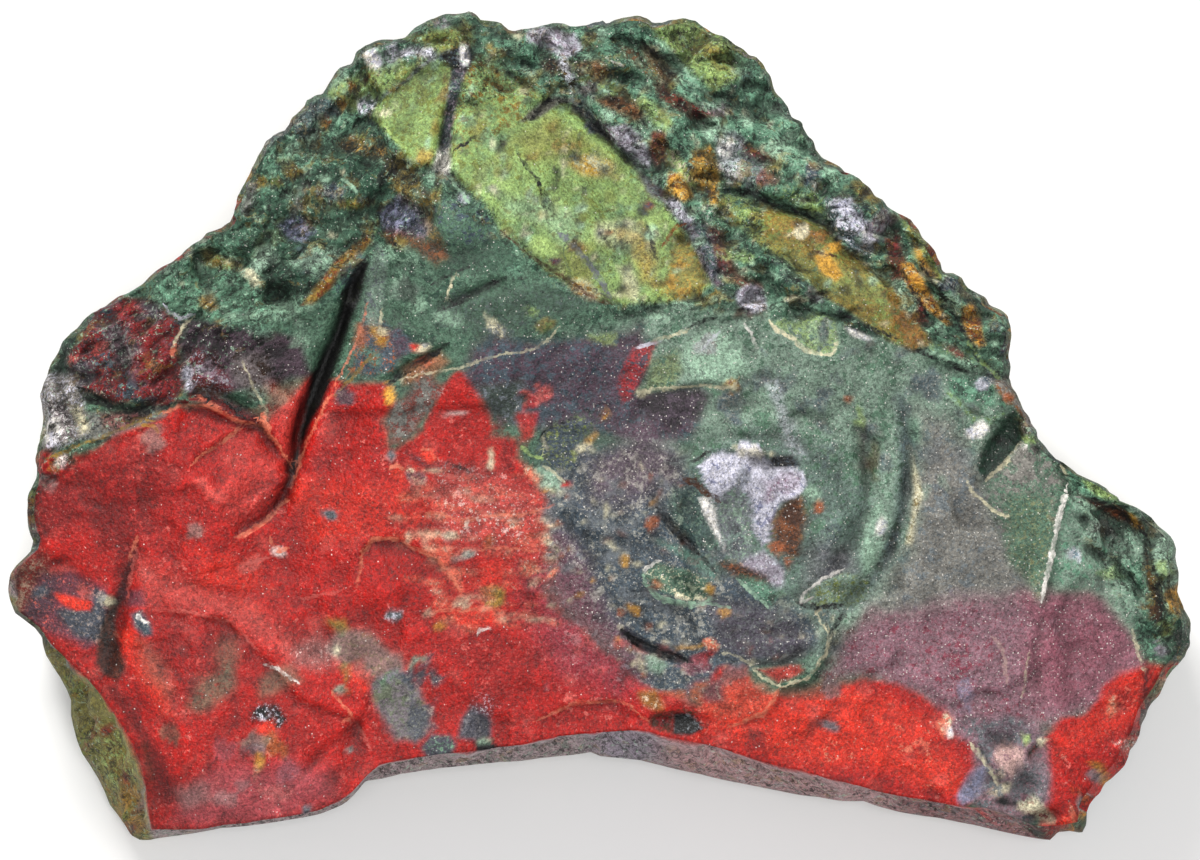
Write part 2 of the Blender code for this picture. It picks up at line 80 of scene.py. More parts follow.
# Where the upper side meets the flanks and the flanks turn under, clockwise from the left tip
OUTLINE = path("""
    8,590 2,-15 5,-8 7,-7 8,-8 3,-11 -4,-11 -3,-12 1,-18 1,-8 6,-12 1,-10 1,-10 3,-20 3,-20 -2,-15 -1,-10
    4,-10 4,-10 3,-12 6,-10 6,-11 8,-9 7,-4 7,-9 6,-8 7,-4 8,-2 7,-5 6,-6 9,-3 10,-7 13,-10 15,-10 18,-13
    17,-12 7,-7 15,-5 8,-6 3,-10 3,-12 6,-15 8,-15 6,-12 7,-12 9,-11 12,-6 6,-9 7,-9 7,-5 2,-7 6,-4 10,-1
    5,-11 6,-9 7,-8 10,-4 5,-10 11,-8 12,-4 17,-2 10,-3 10,-8 15,-7 15,-4 15,-4 8,-3 7,3 6,8 11,2 8,0 8,5
    12,1 15,-2 15,-3 12,0 8,3 15,0 13,-4 5,-3 4,3 10,-4 13,-3 10,0 8,2 5,5 9,0 10,-3 13,-1 10,2 10,6 10,5 9,5
    9,7 9,5 8,5 7,1 6,7 5,10 5,12 6,12 6,10 8,10 8,4 3,3 3,10 5,10 5,8 8,8 10,6 10,8 10,2 10,8 12,13 6,4 4,7
    10,5 8,5 7,3 5,7 3,7 8,8 9,14 5,7 2,8 4,4 5,-1 9,4 8,11 8,6 7,4 5,7 10,5 8,6 4,9 1,8 -1,12 -2,12 0,11
    0,10 4,7 4,7 3,8 5,10 5,10 5,10 3,8 5,7 6,7 8,8 7,3 7,5 10,8 10,4 8,4 8,4 5,6 7,3 2,5 7,2 9,4 7,5 7,5 6,7
    9,7 7,7 3,13 1,13 2,15 -1,10 2,10 4,10 5,12 2,10 -1,13 -4,10 -6,8 -9,9 -6,13 -6,10 -5,7 -7,10 -5,13 -2,10
    -4,7 -7,11 -5,12 -5,7 -7,6 -7,4 -6,10 -10,13 -3,7 -1,13 -4,8 -12,-2 -12,1 -8,8 -10,-1 -40,-8 -25,-6
    -35,-7 -40,-6 -23,-6 -13,-5 -23,0 -22,-4 -19,-2 -20,-4 -20,-4 -20,-4 -20,-4 -20,-5 -20,-4 -20,-5 -20,-5
    -20,-2 -20,-2 -9,-4 -11,2 -20,2 -20,2 -20,3 -20,1 -20,2 -20,2 -20,2 -20,3 -20,3 -20,5 -15,2 -8,9 -5,8
    -10,7 -22,9 -20,4 -13,2 -25,4 -41,4 -20,4 -27,4 -16,2 -8,2 -10,0 -9,-5 -6,-10 -7,-10 -8,-10 -6,-15 -6,-12
    -8,-13 -8,-12 -5,-13 -4,-15 -2,-10 0,-15 -4,-10 -7,-13 -8,-12 -6,-10 -3,-10 -1,-8 -7,-9 -13,-10 -7,-5
    -5,-13
""")

# The front edge of the upper side, which the arched front wall and the left flank drop from
FRONT_EDGE = path("""
    10,604 9,14 12,2 10,11 12,15 17,16 18,17 15,18 16,23 12,20 10,23 5,23 2,20 4,23 49,0 61,-9 58,-10 29,-15
    17,-19 14,-12 20,-4 20,-3 20,-3 20,-2 20,-2 20,-3 20,-2 20,-5 20,-4 20,-2 20,-2 20,-1 17,-1 12,1 11,4
    20,4 20,4 20,5 20,6 20,7 20,5 20,4 20,6 20,5 20,5 20,6 20,4 20,3 20,4 20,3 24,1 16,5 20,8 15,6 19,0 24,-4
""")

# The edge between the fresh break and the weathered rind, from the left tip over the top
BREAK_EDGE = path("""
    8,590 28,-105 54,-45 70,-30 45,-28 57,-52 68,-62 70,-22 40,-54 60,40 60,46 60,28 80,-5 60,5 75,6 95,38
    80,28 20,52 42,54 28,66 35,60 51,54
""")
BEYOND_THE_FRONT = path("1400,700 0,400 -1600,0 0,-500")

# The girdle's height over the drawing plane in mm, by the angle round the heart in degrees
GIRDLE = path("-42,-8 19,0 23,1 23,1 27,-7 40,-4 42,5 36,3 31,1 14,-1 14,0 16,3 33,-1 29,1")

# Smooth flats in the rind
FLATS: list[Line] = [
    path("""
        450,110 70,-20 30,8 25,10 35,32 30,30 20,25 20,30 25,40 7,20 -22,13 -30,2 -35,5 -25,-5 -30,-15
        -25,-15 -25,-25 -20,-15 -10,-15 -10,-15 -15,-10 -20,-25
    """),
    path("365,115 30,-30 35,-25 25,10 -5,30 -8,40 -7,25 -20,0 -15,-20 -25,-25"),
    path("760,203 40,12 28,13 17,22 35,25 20,25 35,45 -20,5 -25,-10 -55,-35 -45,-43 -30,-22"),
]


@dataclass(frozen=True)
class Ledge:
    """A line along which the surface steps: the walker's right side is raised by rise mm."""

    line: Line
    rise: float
    reach: float = 50


@dataclass(frozen=True)
class Groove:
    """A notch along a line, half_width marks wide on each side and depth mm deep."""

    line: Line
    half_width: float
    depth: float


@dataclass(frozen=True)
class Swell:
    """An oval lump, or a hollow where height, in mm, is negative."""

    middle: Place
    half_length: float
    half_width: float
    turn: float
    height: float


LEDGES = [
    Ledge(path("180,403 30,5 25,12 27,5 18,25 15,20"), -2.6, 60),
    Ledge(path("290,490 -20,30 -35,17"), -1.1, 50),
    Ledge(path("190,465 30,-25 20,-12"), -0.8, 40),
    Ledge(path("637,392 31,-3 41,-8 24,8 6,-14"), -0.9, 50),
    Ledge(path("821,619 10,19 -18,39 -33,13 -11,20 -41,17"), 1.0, 60),
    Ledge(path("533,720 39,-16 41,-4 33,20"), -0.7, 40),
    Ledge(path("356,583 6,-32 11,-11 27,0 38,19 24,33"), -1.0, 50),
    Ledge(path("645,575 15,20 20,8 25,-3"), -0.7, 30),
    Ledge(path("775,325 25,15 15,12 18,1 2,-18"), 0.7, 30),
    Ledge(path("1067,487 -9,33 -8,45 -9,40 -21,95"), 0.9, 50),
    Ledge(path("150,610 75,10 45,40 30,40 60,20 10,30"), -0.9, 90),
    Ledge(path("700,455 25,-7 40,7 17,25"), -1.0, 40),
    Ledge(path("960,403 30,17 20,20"), -0.8, 40),
    Ledge(path("505,230 35,35 40,25 40,15"), 1.3, 60),
]

GROOVES = [
    Groove(path("366,258 -14,26 -8,28 -10,33"), 5, 1.3),
    Groove(path("348,305 -12,30 -16,40 -12,30 -10,35 -6,35 -17,55"), 9, 2.8),
    Groove(path("505,280 -25,10 -45,20"), 5, 0.9),
    Groove(path("380,386 36,-24 32,-17"), 5, 1.1),
    Groove(path("657,512 19,19 22,22"), 5, 1.2),
    Groove(path("621,630 19,14 28,11 24,7"), 5, 1.6),
    Groove(path("80,390 45,22 50,-10"), 7, 1.8),
    Groove(path("190,392 25,0 25,16 22,15"), 9, 1.8),
    Groove(path("905,400 7,50 -9,62 -13,41 -28,36 -27,33"), 7, 0.8),
    Groove(path("846,400 20,40 2,60 -13,45 -25,35"), 9, 0.9),
    Groove(path("740,192 30,11 30,9 28,13 17,25 25,8"), 7, 2.2),
    Groove(path("528,120 25,-22 32,17 55,55 28,30 32,60"), 7, 1.6),
    Groove(path("455,65 7,25 -12,20 -10,55 -5,20"), 6, 1.3),
    Groove(path("985,730 25,15 20,45 -10,25"), 8, 0.8),
]

SWELLS = [
    Swell((248, 478), 66, 54, 20, 1.0),
    Swell((408, 572), 52, 36, 15, 0.9),
    Swell((730, 470), 36, 22, -20, 0.9),
    Swell((245, 730), 130, 95, -30, 1.8),
    Swell((320, 400), 190, 55, 70, -2.4),
    Swell((116, 618), 62, 12, 78, -1.1),
    Swell((1001, 445), 38, 15, 60, -1.7),
    Swell((745, 500), 46, 42, 0, -1.2),
    Swell((750, 520), 190, 150, 20, 1.6),
    Swell((560, 430), 120, 60, 15, -1.2),
    Swell((835, 595), 34, 12, 5, -1.0),
    Swell((675, 721), 30, 9, 0, -0.8),
    Swell((1008, 762), 20, 16, 0, 1.6),
    Swell((1040, 818), 22, 9, 10, -1.5),
    Swell((950, 284), 17, 15, 0, 3.0),
    Swell((300, 228), 22, 16, 0, -2.2),
    Swell((405, 218), 24, 20, 0, -2.4),
    Swell((350, 180), 36, 24, -30, 2.2),
    Swell((465, 218), 32, 22, 40, 1.6),
    Swell((930, 570), 120, 150, 10, -1.4),
    Swell((660, 110), 60, 34, 30, 2.4),
    Swell((735, 95), 40, 46, 20, -2.2),
    Swell((860, 215), 34, 22, 30, 2.4),
]


# The light that the surface's gloss adds to every tone
SHEEN = 0.014


class Tone(Enum):
    """The stone's colours: screen red, green and blue up to 255, their flecks' tone and its share."""

    BRICK = (160, 38, 32, "ROSE", 0.12)
    SCARLET = (204, 56, 42, "CORAL", 0.09)
    CRIMSON = (118, 26, 28, "BRICK", 0.3)
    MAROON = (88, 22, 26, "CRIMSON", 0.25)
    GARNET = (114, 42, 42, "PLUM", 0.3)
    WINE = (122, 62, 74, "MAUVE", 0.35)
    CORAL = (212, 118, 92, "CREAM", 0.25)
    ROSE = (190, 90, 82, "BRICK", 0.3)
    ASHROSE = (168, 138, 132, "MAUVE", 0.2)
    MAUVE = (130, 98, 107, "WINE", 0.3)
    LILAC = (152, 140, 154, "MAUVE", 0.3)
    PLUM = (78, 62, 72, "SLATE", 0.4)
    SLATE = (66, 76, 84, "ASH", 0.3)
    STEEL = (126, 128, 152, "LILAC", 0.3)
    STORM = (102, 106, 110, "SLATE", 0.35)
    ASH = (132, 132, 126, "SAGE", 0.3)
    DRAB = (118, 113, 108, "STORM", 0.35)
    SAGE = (118, 137, 122, "MOSS", 0.35)
    MOSS = (78, 104, 86, "FOREST", 0.35)
    FOREST = (46, 68, 56, "MOSS", 0.3)
    BOG = (38, 40, 30, "FOREST", 0.3)
    TEAL = (98, 138, 114, "FOREST", 0.35)
    MINT = (150, 182, 156, "SAGE", 0.3)
    LIME = (154, 178, 108, "LEAF", 0.35)
    LEAF = (130, 156, 96, "LIME", 0.35)
    OLIVE = (112, 122, 66, "MOSS", 0.3)
    BRONZE = (130, 106, 52, "OLIVE", 0.35)
    OCHRE = (176, 130, 58, "RUST", 0.3)
    AMBER = (198, 148, 62, "OCHRE", 0.3)
    SIENNA = (156, 88, 54, "RUST", 0.3)
    RUST = (122, 70, 40, "UMBER", 0.35)
    UMBER = (70, 46, 32, "PITCH", 0.3)
    QUARTZ = (198, 196, 208, "STEEL", 0.25)
    MILK = (234, 228, 220, "QUARTZ", 0.3)
    CREAM = (206, 198, 166, "ASH", 0.25)
    WALL = (158, 138, 140, "ASH", 0.3)
    WALLROSE = (168, 128, 128, "WALL", 0.3)
    INK = (16, 17, 20, "PITCH", 0.3)
    PITCH = (34, 32, 36, "SLATE", 0.3)

    @property
    def linear(self) -> Array:
        """The tone as linear light, less what the gloss adds to it."""
        screen = np.array(self.value[:3]) / 255
        return np.maximum(((screen + 0.055) / 1.055) ** 2.4 - SHEEN, 0.003)

    @property
    def companion(self) -> Tone:
        """The tone of its flecks, unless a mark says otherwise."""
        return Tone[self.value[3]]

    @property
    def share(self) -> float:
        """How much of it the flecks take, unless a mark says otherwise."""
        return self.value[4]


class Chance:
    """Repeatable noise over points in space, worked out for whole arrays at once."""

    @staticmethod
    def draws(cells: Array, seed: int, count: int) -> Array:
        """Numbers from 0 to 1 for each whole-numbered cell.

        Args:
            cells: whole-numbered places, one row each.
            seed: which set of numbers.
            count: how many numbers a cell gets.

        Returns:
            One row of count numbers for each cell.
        """
        whole = cells.astype(np.int64)
        key = whole[:, 0] * 73856093 ^ whole[:, 1] * 19349663 ^ whole[:, 2] * 83492791 ^ (seed * 40503 + 977)
        found = []
        for _ in range(count):
            key = (key * 1103515245 + 12345) & 0x7FFFFFFF
            key = key ^ (key >> 11)
            found.append((key & 0xFFFF) / 65535.0)
        return np.stack(found, axis=1)

    @classmethod
    def soft(cls, points: Array, size: float, seed: int) -> Array:
        """Gradient noise from about -1 to 1: each lattice corner slopes its own way, faded together."""
        place = points / size
        base = np.floor(place)
        inside = place - base
        fade = inside * inside * (3 - 2 * inside)
        total = np.zeros(len(points))
        for corner in itertools.product((0, 1), repeat=3):
            slope = cls.draws(base + corner, seed, 3) * 2 - 1
            weight = np.prod(np.where(corner, fade, 1 - fade), axis=1)
            total += weight * np.sum(slope * (inside - corner), axis=1)
        return total * 1.6

    @classmethod
    def layered(cls, points: Array, size: float, layers: int, seed: int) -> Array:
        """Soft noise added up over sizes that halve, each half as strong."""
        total = np.zeros(len(points))
        for layer in range(layers):
            total += cls.soft(points, size / 2**layer, seed + layer) / 2**layer
        return total

    @classmethod
    def flats(cls, points: Array, size: float, seed: int, seam: float) -> Array:
        """Flats as rock breaks: every lattice cell tilts its own way, and neighbours blend over a seam."""
        place = points / size
        base = np.floor(place)
        weights = np.zeros(len(points))
        heights = np.zeros(len(points))
        for step in itertools.product((-1, 0, 1), repeat=3):
            cell = base + step
            draws = cls.draws(cell, seed, 7)
            away = place - cell - draws[:, :3]
            weight = np.exp(-seam * np.sum(away * away, axis=1))
            tilt = np.sum(away * (draws[:, 3:6] * 2 - 1), axis=1)
            weights += weight
            heights += weight * (tilt + draws[:, 6] - 0.5)
        return heights / np.maximum(weights, 1e-12)


@dataclass(frozen=True)
class Broken:
    """Broken flats of one size in metres: their seed, how sharp their seams are and their height in mm."""

    size: float
    seed: int
    seam: float
    height: float

    def over(self, points: Array) -> Array:
        """Their height at each point, in mm."""
        return Chance.flats(points, self.size, self.seed, self.seam) * self.height

    @staticmethod
    def total(kinds: tuple[Broken, ...], points: Array) -> Array:
        """The heights of several kinds added up at each point, in mm."""
        return sum(kind.over(points) for kind in kinds)


RIND_FLATS = Broken(8 * MM, 11, 15, 2.8)
RIND_BEDS = Broken(3 * MM, 12, 30, 1.0)
BED_CRUMBS = Broken(1.3 * MM, 13, 30, 0.6)
BREAK_WAVES = (Broken(9 * MM, 15, 20, 0.5), Broken(3.4 * MM, 16, 20, 0.22))
FLANK_LUMPS = (Broken(9 * MM, 31, 14, 2.6), Broken(4 * MM, 32, 20, 2.0), Broken(1.7 * MM, 33, 24, 0.9))
BELLY_LUMPS = (Broken(13 * MM, 41, 9, 4.0), Broken(5 * MM, 42, 9, 1.6), Broken(2 * MM, 43, 9, 0.5))


def ramp(value: Array | float, start: float, end: float) -> Array:
    """0 before start, 1 after end, smooth between them: 3 s^2 - 2 s^3 of the share s walked."""
    share = np.clip((value - start) / (end - start), 0, 1)
    return share * share * (3 - 2 * share)


def along_and_across(x: Array, y: Array, middle: Place, turn: float) -> tuple[Array, Array]:
    """Places seen from a middle, along and across a turn in degrees, counter-clockwise."""
    cos_turn, sin_turn = math.cos(math.radians(turn)), math.sin(math.radians(turn))
    right, down = x - middle[0], y - middle[1]
    return right * cos_turn - down * sin_turn, right * sin_turn + down * cos_turn


def close_to(x: Array, y: Array, line: Line, room: float) -> Array:
    """Which places lie in the line's upright box, widened by room: their indices."""
    low, high = np.min(line, axis=0) - room, np.max(line, axis=0) + room
    return np.flatnonzero((x > low[0]) & (x < high[0]) & (y > low[1]) & (y < high[1]))


def near_line(x: Array, y: Array, line: Line) -> tuple[Array, Array, Array]:
    """The nearest spot of a line of points, for each place.

    Args:
        x: places across the drawing.
        y: places down the drawing.
        line: the line's points.

    Returns:
        The distance, the side (1 on the walker's right) and the share of the line walked.
    """
    best = np.full(len(x), np.inf)
    side = np.zeros(len(x))
    walked = np.zeros(len(x))
    for leg, (start, end) in enumerate(zip(line[:-1], line[1:])):
        run = (end[0] - start[0], end[1] - start[1])
        square = run[0] ** 2 + run[1] ** 2
        share = np.clip(((x - start[0]) * run[0] + (y - start[1]) * run[1]) / square, 0, 1)
        gap = np.hypot(x - start[0] - share * run[0], y - start[1] - share * run[1])
        closer = gap < best
        best = np.where(closer, gap, best)
        side = np.where(closer, np.sign(run[0] * (y - start[1]) - run[1] * (x - start[0])), side)
        walked = np.where(closer, (leg + share) / (len(line) - 1), walked)
    return best, side, walked


def is_inside(x: Array, y: Array, loop: Line) -> Array:
    """True where a place lies inside a closed loop, by counting the edges to its right."""
    inside = np.zeros(len(x), bool)
    for start, end in zip(loop, loop[1:] + loop[:1]):
        spans = (start[1] > y) != (end[1] > y)
        rise = end[1] - start[1]
        crossing = start[0] + (y - start[1]) * (end[0] - start[0]) / (rise if rise else 1)
        inside ^= spans & (x < crossing)
    return inside


def depth_inside(x: Array, y: Array, loop: Line) -> Array:
    """Distance to a closed loop, positive inside it and negative outside."""
    gap, _, _ = near_line(x, y, loop + loop[:1])
    return np.where(is_inside(x, y, loop), gap, -gap)


@dataclass(frozen=True)
class Drawing:
    """The plane that the stone is drawn on: it leans back, and its middle is over the ground."""

    stone_width: float = 150 * MM
    marks_across: float = 1182
    picture_marks: float = 1200
    middle: Place = (600, 430)
    heart: Place = (560, 400)
    tilt: float = math.radians(13)
    plane_height: float = 25 * MM
    eye_distance: float = 600 * MM

    @property
    def mark(self) -> float:
        """The length of one mark, in metres."""
        return self.stone_width / self.marks_across

    def to_world(self, x: Array, y: Array, height: Array) -> Array:
        """World points of drawing places: what stands higher is nearer the eye, so it is drawn larger.

        Args:
            x: places across the drawing, in marks.
            y: places down the drawing, in marks.
            height: heights over the plane, in metres.

        Returns:
            One point a row, in metres.
        """
        shrink = 1 - height / self.eye_distance
        across = (x - self.middle[0]) * self.mark * shrink
        up = (self.middle[1] - y) * self.mark * shrink
        back = up * math.cos(self.tilt) - height * math.sin(self.tilt)
        raised = up * math.sin(self.tilt) + height * math.cos(self.tilt) + self.plane_height
        return np.stack([across, back, raised], axis=-1)

    def loop_radius(self, loop: Line, angle: Array) -> Array:
        """Distance from the heart to a drawn loop, at each angle."""
        places = np.array(loop, float) - self.heart
        bearings = np.arctan2(-places[:, 1], places[:, 0])
        order = np.argsort(bearings)
        return np.interp(angle, bearings[order], np.hypot(*places[order].T), period=2 * math.pi)

    def edge_radius(self, angle: Array) -> Array:
        """Distance from the heart to where the upper side ends: the front edge, or inside the outline."""
        outline = self.loop_radius(OUTLINE, angle)
        places = np.array(FRONT_EDGE, float) - self.heart
        bearings = np.arctan2(-places[:, 1], places[:, 0]) % (2 * math.pi)
        order = np.argsort(bearings)
        turned = angle % (2 * math.pi)
        drawn = np.interp(turned, bearings[order], np.hypot(*places[order].T))
        in_front = (turned >= bearings.min()) & (turned <= bearings.max())
        return np.where(in_front, np.minimum(drawn, outline - 4), outline * 0.985)

    def around(self, reach: Array, angle: Array) -> tuple[Array, Array]:
        """The drawing place at a distance and an angle from the heart."""
        return self.heart[0] + reach * np.cos(angle), self.heart[1] - reach * np.sin(angle)


@dataclass(frozen=True)
class Relief:
    """Everything that raises or sinks the upper side over its drawing plane."""

    drawing: Drawing
    rind_slope: float = math.tan(math.radians(33))
    ledge_face: float = 4
    ring_middle: Place = (750, 520)
    ring_spacing: float = 33
    ring_height: float = 0.35 * MM
    ring_starts: Span = (30, 70)
    ring_ends: Span = (150, 190)
    break_height: float = 13 * MM
    break_slope: float = 0.045
    tip_sags: tuple[tuple[float, float, float], ...] = ((5 * MM, 210, -200), (3 * MM, 1050, 140))
    rind_bend: float = 7
    left_steepness: float = 0.72
    steepens: Span = (200, 460)
    left_beds: float = 0.7
    more_beds: float = 0.8
    beds_grow: Span = (380, 620)
    soft_height: float = 0.45
    soft_on_rind: float = 0.5

    def ledges(self, x: Array, y: Array) -> Array:
        """The ledges' height: rise times a ramp across the line, times e^(-gap/reach), in metres."""
        total = np.zeros(len(x))
        for ledge in LEDGES:
            gap, side, walked = near_line(x, y, ledge.line)
            taper = np.sqrt(np.clip(np.sin(math.pi * walked), 0, 1))
            lift = ramp(gap * side, -self.ledge_face, self.ledge_face) * np.exp(-gap / ledge.reach)
            total += ledge.rise * MM * lift * taper
        return total

    def grooves(self, x: Array, y: Array) -> Array:
        """The grooves' depth: a bell curve e^(-(gap/half_width)^2) across each line, in metres."""
        total = np.zeros(len(x))
        for groove in GROOVES:
            gap, _, walked = near_line(x, y, groove.line)
            taper = np.sqrt(np.clip(np.sin(math.pi * walked), 0, 1))
            total -= groove.depth * MM * np.exp(-((gap / groove.half_width) ** 2)) * taper
        return total

    def swells(self, x: Array, y: Array) -> Array:
        """Lumps and hollows: height times e^(-r^3), r being 1 on each oval."""
        total = np.zeros(len(x))
        for swell in SWELLS:
            along, across = along_and_across(x, y, swell.middle, swell.turn)
            square = (along / swell.half_length) ** 2 + (across / swell.half_width) ** 2
            total += swell.height * MM * np.exp(-(square**1.5))
        return total

    def rings(self, x: Array, y: Array) -> Array:
        """Rings of a shell-like break round its middle: |sin| of the distance, in a band."""
        away = np.hypot(x - self.ring_middle[0], (y - self.ring_middle[1]) * 1.15)
        wave = np.abs(np.sin(math.pi * away / self.ring_spacing))
        band = ramp(away, *self.ring_starts) * (1 - ramp(away, *self.ring_ends))
        return (wave - 0.6) * self.ring_height * band

    def rind_depth(self, x: Array, y: Array) -> Array:
        """Distance beyond the break's edge, in marks, negative on the fresh break."""
        away, _, _ = near_line(x, y, BREAK_EDGE)
        return np.where(is_inside(x, y, BREAK_EDGE + BEYOND_THE_FRONT), -away, away)

    def roughness(self, x: Array, y: Array) -> Array:
        """How broken the surface is, from 0 on the fresh break to 1 on the rind off its flats."""
        flat = np.zeros(len(x))
        for loop in FLATS:
            flat = np.maximum(flat, ramp(depth_inside(x, y, loop), -6, 14))
        return ramp(self.rind_depth(x, y), -30, 12) * (1 - 0.85 * flat)

    def height(self, x: Array, y: Array) -> Array:
        """Height of the upper side over the drawing plane.

        The break is a plane of slight slope that sags at both tips. Beyond its edge the rind
        falls off as slope times ln(1 + e^(distance)). Hollows, ledges, grooves, rings, broken
        flats and soft noise are added.

        Args:
            x: places across the drawing, in marks.
            y: places down the drawing, in marks.

        Returns:
            The heights, in metres.
        """
        mark = self.drawing.mark
        fresh = self.break_height + (self.drawing.middle[1] - y) * mark * self.break_slope
        for sag, starts, length in self.tip_sags:
            fresh -= sag * np.clip((x - starts) / length, 0, 1) ** 1.4
        beyond = self.rind_depth(x, y)
        steepness = self.rind_slope * (
            self.left_steepness + (1 - self.left_steepness) * ramp(x, *self.steepens)
        )
        height = fresh - steepness * np.logaddexp(0, beyond / self.rind_bend) * self.rind_bend * mark
        height += self.swells(x, y) + self.ledges(x, y) + self.grooves(x, y) + self.rings(x, y)
        rough = self.roughness(x, y)
        places = np.stack([x * mark, y * mark, height * 0.5], axis=1)
        bedded = np.stack([x * mark * 0.5, y * mark * 0.5, beyond * mark * 1.15], axis=1)
        bed_height = self.left_beds + self.more_beds * ramp(x, *self.beds_grow)
        soft_height = self.soft_height + self.soft_on_rind * rough
        height += rough * MM * (RIND_FLATS.over(places) + bed_height * RIND_BEDS.over(bedded))
        height += soft_height * MM * Chance.layered(places, 14 * MM, 3, 21)
        return height + self.fine(places, bedded, rough)

    def fine(self, places: Array, bedded: Array, rough: Array) -> Array:
        """Small relief: bedded crumbs and grit on the rind, faint flat waves on the break, in metres."""
        crumbs = BED_CRUMBS.over(bedded)
        grit = Chance.layered(places, 2.6 * MM, 3, 24) * 0.45
        waves = Broken.total(BREAK_WAVES, places) + Chance.layered(places, 2.6 * MM, 3, 27) * 0.1
        return MM * (rough * (crumbs + grit) + (1 - rough) * waves)


@dataclass(frozen=True)
class Mark:
    """One brush mark on the drawing: a closed loop, or an oval round its middle.

    Attributes:
        tone: the colour it leaves.
        line: the loop's points, or the oval's middle alone.
        size: the oval's half length and half width, or None for a loop.
        turn: the oval's turn in degrees, counter-clockwise.
        cover: how much of what is under it the mark hides.
        soft: half the width of its border, in marks.
        rag: how far the border wanders, in marks.
        fleck: the colour of its flecks; its tone's companion if None.
        share: how much of it the flecks take; its tone's own share if None.
        glint: how much it sparkles, as pale specks painted into its colour, pale crystals and painted glints
            both, or None to keep what is there.
    """

    tone: Tone
    line: Line
    size: Place | None = None
    turn: float = 0
    cover: float = 1.0
    soft: float = 5
    rag: float = 6
    fleck: Tone | None = None
    share: float | None = None
    glint: float | None = None

    def depth(self, x: Array, y: Array) -> Array:
        """Distance inside the mark's border, in marks, negative outside."""
        if self.size is None:
            return depth_inside(x, y, self.line)
        long, short = self.size
        along, across = along_and_across(x, y, self.line[0], self.turn)
        return (1 - np.hypot(along / long, across / short)) * min(long, short)


@dataclass(frozen=True)
class Stroke:
    """A crisp thin line: a dark crack, a vein, a painted shadow under a step, or the pale edge of a flake,
    partly translucent and partly painted highlight.
    """

    tone: Tone
    line: Line
    half_width: float = 2.0
    strength: float = 1.0


@dataclass(frozen=True)
class Sprinkle:
    """Many small blots of one tone, strewn over a loop; with a stretch they all lie one way."""

    tone: Tone
    loop: Line
    count: int
    size: float
    seed: int
    cover: float = 0.8
    stretch: float = 1.0
    turn: float = 0.0

    def marks(self) -> list[Mark]:
        """The blots as marks: their places, sizes and turns are drawn from the seed."""
        draw = np.random.default_rng(self.seed)
        low, high = np.min(self.loop, axis=0), np.max(self.loop, axis=0)
        places = low + draw.random((self.count, 2)) * (high - low)
        inside = is_inside(places[:, 0], places[:, 1], self.loop)
        sizes = self.size * (0.5 + draw.random((self.count, 2)) ** 2)
        turns = draw.random(self.count) * 180 if self.stretch == 1 else np.full(self.count, self.turn)
        sizes[:, 0] *= self.stretch
        return [
            blot(self.tone, *place, *size, turn, cover=self.cover, rag=self.size * 0.8, soft=2.5)
            for place, size, turn in zip(places[inside], sizes[inside], turns[inside])
        ]


def blot(tone: Tone, x: float, y: float, long: float, short: float, turn: float = 0, **more: object) -> Mark:
    """An oval filled with a tone."""
    more.setdefault("soft", max(min(long, short) * 0.3, 2))
    more.setdefault("rag", max(min(long, short) * 0.7, 2))
    return Mark(tone, [(x, y)], (long, short), turn, **more)


def entries(text: str) -> Iterator[tuple[Tone, list[str], list[list[float]]]]:
    """Splits a list of marks, one loop, one line or one kind of oval to an entry.

    Args:
        text: a tone, other words, a colon and groups of numbers; deeper indented lines go on with an entry.

    Yields:
        An entry's tone, its other words and its groups of numbers.
    """
    for entry in textwrap.dedent(text).strip().replace("\n    ", " ").split("\n"):
        words, groups = entry.split(":")
        name, *others = words.split()
        yield Tone[name.upper()], others, numbers(groups)


def paint(text: str) -> list[Mark]:
    """Reads marks: a tone, then cover, soft and rag, a fleck's tone/share, and *glint.

    Args:
        text: the marks, lowest first; a loop as a start and steps, an oval as x,y,long,short,turn.

    Returns:
        The marks in the same order.
    """
    marks: list[Mark] = []
    for tone, words, groups in entries(text):
        plain = [float(word) for word in words if word[0] != "*" and "/" not in word]
        more: dict[str, object] = dict(zip(("cover", "soft", "rag"), plain))
        for word in words:
            if word[0] == "*":
                more["glint"] = float(word[1:])
            elif "/" in word:
                fleck, share = word.split("/")
                more.update(fleck=Tone[fleck.upper()], share=float(share) if share else None)
        if len(groups[0]) == 2:
            marks.append(Mark(tone, walk(groups), **more))
        else:
            marks.extend(blot(tone, *group, **more) for group in groups)
    return marks


def ink(text: str) -> list[Stroke]:
    """Reads strokes: a tone, half width and strength, then the line's start and steps."""
    return [Stroke(tone, walk(groups), *map(float, words)) for tone, words, groups in entries(text)]


WHOLE = path("-60,-60 1320,0 0,980 -1320,0")
RED_BREAK = path("""
    0,440 60,12 40,-10 60,-22 18,-15 37,0 47,20 23,-25 15,-15 18,-15 27,15 40,-7 15,17 -15,25 7,25 29,-18
    16,-27 22,-27 19,27 20,30 17,7 15,28 15,35 3,60 -8,30 20,25 30,25 30,20 20,30 60,15 20,-30 25,-7 15,22
    70,10 10,-15 22,-13 38,12 25,6 13,20 10,18 12,14 18,8 0,16 -13,24 -15,40 -250,70 -600,0 -100,-200
""")
RED_TIP = path("1040,745 20,-30 25,0 13,-15 4,-15 28,-13 38,-8 52,-14 0,250 -175,0 -5,-70 8,-40")
GRANITE = path("""
    545,430 55,10 90,10 30,110 40,40 70,0 10,50 -80,15 -60,35 -60,-10 -40,-50 -40,-40 -15,-80
""")
RIND_TOP = path("""
    340,60 130,-60 230,10 80,50 80,100 100,100 60,80 -90,10 -95,-38 -135,-11 -80,5 -120,-74 -60,-40 -40,54
    -70,22 -130,32 -50,-20 100,-120
""")
